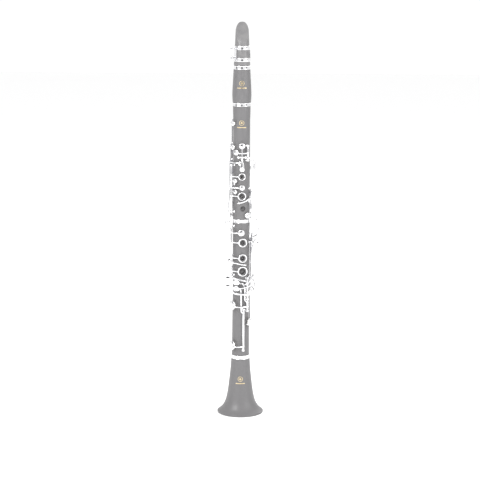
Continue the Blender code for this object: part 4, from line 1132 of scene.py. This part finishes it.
def ring_arm(shape, hinge, height, angle, outer):
    """A straight arm from a hinge tube to the near edge of a finger ring."""
    tube = at(*hinge, height)
    way = -1.0 if (at(angle, 18.4, height) - tube).dot(tangent(angle)) > 0 else 1.0
    edge = at(angle, RING_FACE + 0.8, height) + tangent(angle) * (way * (outer - 0.7) * MM)
    path = [tube.lerp(edge, k / 8) for k in range(9)]
    shape.sweep(path, 2.5, 1.6, last=2.0)
    root = [tube.lerp(edge, k / 8 * 0.3) for k in range(9)]
    shape.sweep(root, 3.6, 1.9, last=1.8)
    collar(shape, hinge, height)


def rooted_arm(shape, stops, width=2.6, thick=1.7, last=1.9):
    """An arm, and the collar round the hinge tube where it starts."""
    shape.arm(stops, width, thick, last)
    collar(shape, stops[0][:2], stops[0][2])


def upper_rings():
    shape = Shape()
    finger_ring(shape, UPPER_LINE, 378.0, 5.5, 7.1)
    ring_arm(shape, STACK, 378.0, UPPER_LINE, 7.1)
    base = seat_top(392.4) + GAP + 1.5
    pad_cup(shape, 4.0, 392.4, 4.6, base, "upper_ring_key", "upper_vent", "upper_vent_pad")
    rooted_arm(shape, [(*STACK, 392.4), (-36.0, 21.4, 392.4), *across(4.0, base + 3.6, 392.4, -16.0, -2.0)])
    shape.arm([(*STACK, 355.5), (-56.0, 25.9, 355.5), (-56.0, 25.9, 331.0)], 3.0, 1.9, straight=True)
    upright_key(shape, "upper_ring_key", STACK, 352.6, 394.9)

    shape = Shape()
    finger_ring(shape, UPPER_LINE, 411.0, 4.6, 6.3)
    ring_arm(shape, STACK, 411.0, UPPER_LINE, 6.3)
    base = seat_top(403.5) + GAP + 0.6
    pad_cup(shape, -36.0, 403.5, 4.0, base, "first_ring_key", "first_vent")
    rooted_arm(shape, [(*STACK, 403.5), *across(-36.0, base + 3.5, 403.5, -10.0, 0.0)])
    upright_key(shape, "first_ring_key", STACK, 399.3, 428.1)
    axle("upper_ring_axle", [(STACK, 349.4, 431.3)], [(STACK, 350.7), (STACK, 397.1), (STACK, 430.0)])
    needle("first_ring_spring", "upper_ring_axle", STACK, 429.0, 416.0, 2.4)
    needle("upper_ring_spring", "upper_ring_axle", STACK, 398.0, 389.4, 2.4)

    shape = Shape()
    finger_ring(shape, 180.0, 420.0, 5.0, 6.6)
    ring_arm(shape, THUMB, 420.0, 180.0, 6.6)
    upright_key(shape, "thumb_ring_key", THUMB, 412.1, 427.9)
    axle("thumb_ring_axle", [(THUMB, 408.9, 431.1)], [(THUMB, 410.2), (THUMB, 429.8)])
    needle("thumb_ring_spring", "thumb_ring_axle", THUMB, 429.0, 415.5, -2.4)


def right_keys():
    shape = Shape()
    rooted_arm(shape, [(*RIGHT, 374.4), (48.0, 18.3, 373.0), (30.0, 18.1, 370.4), (10.0, 18.0, 368.0),
                       (-8.0, 18.0, 366.4), (-22.0, 18.0, 365.4)], 2.9, 1.7, 2.4)
    rooted_arm(shape, [(*RIGHT, 382.0), (84.0, 19.0, 382.0), (110.0, 19.1, 382.0)], 2.4, 1.6, 1.8)
    pad_cup(shape, 112.0, 382.0, 4.0, seat_top(382.0) + GAP, "upper_cross_key", "upper_cross")
    upright_key(shape, "upper_cross_key", RIGHT, 369.7, 387.9)

    shape = Shape()
    base = seat_top(344.9) + GAP
    pad_cup(shape, 38.0, 344.9, 4.9, base, "csharp_key", "csharp", "csharp_pad")
    shape.arm([(*RIGHT, 347.0), *across(38.0, base + 3.6, 345.6, 13.0, 1.0)], 2.5, 1.7, 1.9)
    shape.arm([(*RIGHT, 350.0), (76.0, 21.8, 348.0), (84.0, 24.4, 343.0), (92.0, 26.0, 335.0)], 2.5, 1.8, 3.2)
    touch(shape, 92.0, 26.6, 333.0, 17.0, 8.4)
    collar(shape, RIGHT, 348.5)
    upright_key(shape, "csharp_key", RIGHT, 341.8, 365.8)
    axle("upper_right_axle", [(RIGHT, 338.6, 391.1)], [(RIGHT, 339.9), (RIGHT, 367.8), (RIGHT, 389.8)])
    needle("upper_cross_spring", "upper_right_axle", RIGHT, 388.8, 377.5, -2.4)
    needle("csharp_spring", "upper_right_axle", RIGHT, 366.8, 354.0, -2.4)


# Lower joint keywork


def lower_rings():
    shape = Shape()
    for height, inner, outer in ((298.6, 5.4, 7.5), (272.0, 5.4, 7.4), (249.4, 6.5, 8.5)):
        finger_ring(shape, LOWER_LINE, height, inner, outer)
        ring_arm(shape, STACK, height, LOWER_LINE, outer)
    base = seat_top(315.7) + GAP + 1.5
    pad_cup(shape, 1.0, 315.7, 5.5, base, "lower_ring_key", "lower_vent", "lower_vent_pad")
    rooted_arm(shape, [(*STACK, 315.7), (-38.0, 21.6, 315.7), *across(1.0, base + 3.6, 315.7, -18.0, -2.0)])
    shape.arm([(*STACK, 320.0), (-56.0, 23.6, 320.0), (-56.0, 23.6, 336.0)], 2.6, 1.6, straight=True)
    upright_key(shape, "lower_ring_key", STACK, 243.8, 324.2)
    axle("lower_ring_axle", [(STACK, 240.6, 327.4)], [(STACK, 241.9), (STACK, 326.1)])
    needle("lower_ring_spring", "lower_ring_axle", STACK, 243.0, 258.0, 2.4)

    shape = Shape()
    shape.arm([(*LOWER_CROSS, 266.0), (-88.0, 22.6, 266.0), (-56.0, 25.0, 265.6), (-34.0, 22.0, 264.2),
               (-16.0, 18.9, 262.8), (0.0, 18.3, 261.6), (30.0, 18.2, 259.8)], 2.8, 1.7, 2.3)
    shape.arm([(*LOWER_CROSS, 263.0), (-122.0, 19.2, 263.0), (-138.0, 19.1, 263.0)], 2.4, 1.6, 1.8)
    pad_cup(shape, -140.0, 263.0, 4.2, seat_top(263.0) + GAP, "lower_cross_key", "lower_cross")
    upright_key(shape, "lower_cross_key", LOWER_CROSS, 256.1, 271.9)
    axle("lower_cross_axle", [(LOWER_CROSS, 252.9, 275.1)], [(LOWER_CROSS, 254.2), (LOWER_CROSS, 273.8)])
    needle("lower_cross_spring", "lower_cross_axle", LOWER_CROSS, 273.0, 259.5, 2.4)


def little_finger_keys():
    shape = Shape()
    base = seat_top(120.0) + GAP + 1.8
    pad_cup(shape, -50.0, 120.0, 8.2, base, "e_key", "e", "e_pad")
    rooted_arm(shape, [(*E_ROD, 119.0), (4.0, 20.8, 119.0), (-12.0, 23.0, 119.0),
                       *across(-50.0, base + 3.7, 119.0, 24.0, 2.0)], 3.0, 2.0, 2.1)
    rooted_arm(shape, [(*E_ROD, 178.0), (3.5, 18.2, 180.6), (2.0, 18.0, 205.0), (-2.0, 18.4, 219.0),
                       (-16.0, 19.0, 219.5)],
              2.4, 1.9, 2.6)
    touch(shape, -24.0, 19.5, 219.5, 12.0, 8.6, lean=90.0)
    upright_key(shape, "e_key", E_ROD, 114.1, 181.9)
    axle("e_axle", [(E_ROD, 110.9, 185.1)], [(E_ROD, 112.2), (E_ROD, 183.8)])
    needle("e_spring", "e_axle", E_ROD, 113.2, 132.0, 2.4)

    shape = Shape()
    base = seat_top(190.0) + GAP + 1.8
    pad_cup(shape, -50.0, 190.0, 8.2, base, "fsharp_key", "fsharp", "fsharp_pad")
    rooted_arm(shape, [(*FSHARP_ROD, 188.4), (27.0, 20.5, 188.4), (9.0, 21.8, 188.4), (-12.0, 22.8, 188.4),
                       *across(-50.0, base + 3.7, 188.4, 24.0, 2.0)], 3.0, 1.9, 2.1)
    rooted_arm(shape, [(*FSHARP_ROD, 196.0), (24.0, 18.3, 198.6), (22.0, 18.1, 205.0), (22.0, 18.1, 220.0),
                       (10.0, 18.5, 228.0), (-16.0, 19.0, 230.0)], 2.4, 1.9, 2.6)
    touch(shape, -24.0, 19.5, 230.2, 12.0, 8.6, lean=90.0)
    upright_key(shape, "fsharp_key", FSHARP_ROD, 182.7, 199.3)

    shape = Shape()
    base = seat_top(213.0) + GAP
    pad_cup(shape, 72.0, 213.0, 5.2, base, "aflat_key", "aflat", "aflat_pad")
    rooted_arm(shape, [(*FSHARP_ROD, 213.0), (48.0, 19.6, 213.0),
                       *across(72.0, base + 3.6, 213.0, -13.0, -1.0)], 2.6, 1.7, 1.9)
    rooted_arm(shape, [(*FSHARP_ROD, 230.0), (28.0, 20.6, 231.6), (18.0, 21.8, 233.6), (-10.0, 21.9, 236.4),
                       (-40.0, 23.0, 238.0), (-55.0, 25.6, 237.0)], 2.5, 1.8, 3.0)
    touch(shape, -55.0, 26.2, 236.4, 12.0, 7.4, lean=90.0, turn=17.0)
    upright_key(shape, "aflat_key", FSHARP_ROD, 203.3, 235.2)
    axle("fsharp_axle", [(FSHARP_ROD, 179.5, 238.4)],
         [(FSHARP_ROD, 180.8), (FSHARP_ROD, 201.3), (FSHARP_ROD, 237.1)])
    needle("fsharp_spring", "fsharp_axle", FSHARP_ROD, 181.8, 192.0, 2.4)
    needle("aflat_spring", "fsharp_axle", FSHARP_ROD, 236.0, 221.0, -2.4)

    shape = Shape()
    base = seat_top(160.0) + GAP + 1.8
    pad_cup(shape, 58.0, 160.0, 7.6, base, "f_key", "f", "f_pad")
    rooted_arm(shape, [(*F_ROD, 158.6), (102.0, 20.8, 158.6),
                       *across(58.0, base + 3.7, 158.6, 25.0, 0.0, -22.0),
                       (25.0, 24.4, 158.6)], 2.8, 1.9, 2.1)
    rooted_arm(shape, [(*F_ROD, 222.0), (104.0, 21.6, 217.0), (88.0, 23.6, 212.0), (60.0, 24.4, 210.5),
                       (20.0, 24.4, 210.5),
                       (-20.0, 24.2, 211.5), (-44.0, 25.0, 216.0), (-55.0, 25.8, 221.0)], 2.5, 1.9, 3.0)
    touch(shape, -55.0, 26.2, 222.4, 12.0, 7.4, lean=90.0, turn=17.0)
    upright_key(shape, "f_key", F_ROD, 151.1, 225.9)
    axle("f_axle", [(F_ROD, 147.9, 303.2)], [(F_ROD, 149.2), (F_ROD, 227.8), (F_ROD, 301.9)])
    needle("f_spring", "f_axle", F_ROD, 150.2, 168.0, 2.4)
    needle("left_f_spring", "f_axle", F_ROD, 301.0, 284.0, 2.4)


def left_levers():
    levers = {
        "left_f_lever": (F_ROD, 229.8, 300.0, 17.0, -22.0),
        "left_e_lever": (LEFT_E_ROD, 240.0, 310.0, 16.0, -24.0),
        "left_fsharp_lever": (LEFT_FSHARP_ROD, 240.0, 296.0, 25.0, -21.0),
    }
    f_plate = [(*F_ROD, 296.0), (106.0, 24.0, 296.0), (95.0, 28.6, 295.4), (84.0, 30.6, 294.6)]
    e_plate = [(*LEFT_E_ROD, 306.0), (88.0, 23.0, 308.0), (82.0, 26.8, 311.0), (76.0, 28.8, 316.0)]
    fsharp_plate = [(*LEFT_FSHARP_ROD, 292.0), (68.0, 21.6, 292.4), (64.0, 25.0, 293.0), (61.0, 26.8, 294.0)]
    plates = {"left_f_lever": f_plate, "left_e_lever": e_plate, "left_fsharp_lever": fsharp_plate}
    f_foot = [(*F_ROD, 232.0), (112.0, 22.2, 231.0), (104.0, 24.3, 226.0), (100.0, 24.6, 219.0)]
    e_foot = [(*LEFT_E_ROD, 244.0), (86.0, 22.6, 238.4), (70.0, 23.6, 228.0)]
    e_foot += [(37.0, 23.2, 224.0), (5.0, 22.7, 221.2), (-10.0, 21.9, 219.8)]
    fsharp_foot = [(*LEFT_FSHARP_ROD, 243.5), (64.0, 22.6, 240.6), (46.0, 24.0, 235.0)]
    fsharp_foot += [(31.0, 23.6, 229.8), (17.0, 21.2, 226.6)]
    feet = {"left_f_lever": f_foot, "left_e_lever": e_foot, "left_fsharp_lever": fsharp_foot}
    for node, (hinge, bottom, top, length, turn) in levers.items():
        shape = Shape()
        rooted_arm(shape, plates[node], 2.5, 1.8, 3.4)
        angle, distance, height = plates[node][-1]
        touch(shape, angle, distance + 0.6, height, length, 7.2, turn=turn)
        rooted_arm(shape, feet[node], 2.5, 1.8, 2.0)
        upright_key(shape, node, hinge, bottom, top)
    axle(
        "left_lever_axles",
        [(LEFT_E_ROD, 236.8, 313.2), (LEFT_FSHARP_ROD, 236.8, 299.2)],
        [(LEFT_E_ROD, 311.9), (LEFT_FSHARP_ROD, 297.9), (LEFT_E_ROD, 238.1), (LEFT_FSHARP_ROD, 238.1)],
        saddle=238.1,
    )
    needle("left_e_spring", "left_lever_axles", LEFT_E_ROD, 311.0, 296.0, -2.4)
    needle("left_fsharp_spring", "left_lever_axles", LEFT_FSHARP_ROD, 297.0, 282.0, -2.4)


build_sections()
build_mouthpiece()
build_ligature()
build_thumb_rest()
register_key()
a_key()
gsharp_key()
side_keys()
upper_rings()
right_keys()
lower_rings()
little_finger_keys()
left_levers()


# Floor, light and camera


FLOOR_HALF = 8.0
FLOOR_DROP = 0.0002


def stage_sheet(name, width, height, colour, roughness=0.5):
    """A flat sheet of one plain material, which belongs to the stage."""
    mesh = bpy.data.meshes.new(name)
    x, y = width / 2, height / 2
    mesh.from_pydata([(-x, -y, 0), (x, -y, 0), (x, y, 0), (-x, y, 0)], [], [(0, 1, 2, 3)])
    material = bpy.data.materials.new(name + "_surface")
    material.use_nodes = True
    shader = material.node_tree.nodes["Principled BSDF"]
    shader.inputs["Base Color"].default_value = (*colour, 1.0)
    shader.inputs["Roughness"].default_value = roughness
    mesh.materials.append(material)
    made = bpy.data.objects.new(name, mesh)
    bpy.context.scene.collection.objects.link(made)
    return made


def area_light(name, place, size, power, aim=0.35):
    """A square lamp that points at the height aim on the clarinet's axis."""
    lamp = bpy.data.lights.new(name, "AREA")
    lamp.size = size
    lamp.energy = power
    made = bpy.data.objects.new(name, lamp)
    made.location = place
    made.rotation_euler = (Vector((0.0, 0.0, aim)) - Vector(place)).to_track_quat("-Z", "Y").to_euler()
    bpy.context.scene.collection.objects.link(made)
    return made


def build_stage():
    floor = stage_sheet("floor", 2 * FLOOR_HALF, 2 * FLOOR_HALF, (0.93, 0.93, 0.93), 0.9)
    floor.location.z = -FLOOR_DROP
    world = bpy.data.worlds.new("studio")
    world.use_nodes = True
    world.node_tree.nodes["Background"].inputs["Color"].default_value = (1.0, 1.0, 1.0, 1.0)
    world.node_tree.nodes["Background"].inputs["Strength"].default_value = 1.05
    bpy.context.scene.world = world
    bpy.context.scene.view_settings.view_transform = "Standard"
    area_light("key_light", (-1.6, -1.8, 2.0), 1.2, 42.0)
    area_light("fill_light", (1.9, -1.2, 1.2), 1.4, 18.0)
    area_light("back_light", (0.6, 1.8, 1.6), 1.2, 22.0)
    # This one lights the tone holes from the front, and polished pieces don't mirror it.
    area_light("front_light", (-0.1, -2.9, 0.95), 0.5, 45.0, aim=0.3).visible_glossy = False


def dark_card(name, place, width, height):
    """A dark sheet seen only in reflections, so that polished metal keeps its shape."""
    card = stage_sheet(name, width, height, (0.04, 0.04, 0.045))
    where = Vector(place)
    facing_in = (Vector((0.0, 0.0, 0.3)) - where).to_track_quat("Z", "Y").to_matrix().to_4x4()
    card.matrix_world = Matrix.Translation(where) @ facing_in
    card.visible_camera = False
    card.visible_diffuse = False
    card.visible_shadow = False


def build_camera():
    camera = bpy.data.cameras.new("camera")
    camera.sensor_width = 36.0
    camera.lens = 121.15
    made = bpy.data.objects.new("camera", camera)
    pitch, roll, yaw = 10.07, 0.31, 0.038
    made.matrix_world = (
        Matrix.Translation((0.0, -2.70, 0.78))
        @ Matrix.Rotation(math.radians(yaw), 4, "Z")
        @ Matrix.Rotation(math.radians(90.0 - pitch), 4, "X")
        @ Matrix.Rotation(math.radians(roll), 4, "Z")
    )
    bpy.context.scene.collection.objects.link(made)
    bpy.context.scene.camera = made


build_stage()
dark_card("front_card", (0.0, -3.4, 0.35), 1.3, 2.6)
dark_card("left_card", (-2.4, -0.5, 0.6), 0.7, 2.6)
dark_card("right_card", (2.3, -1.0, 0.6), 0.6, 2.6)
build_camera()
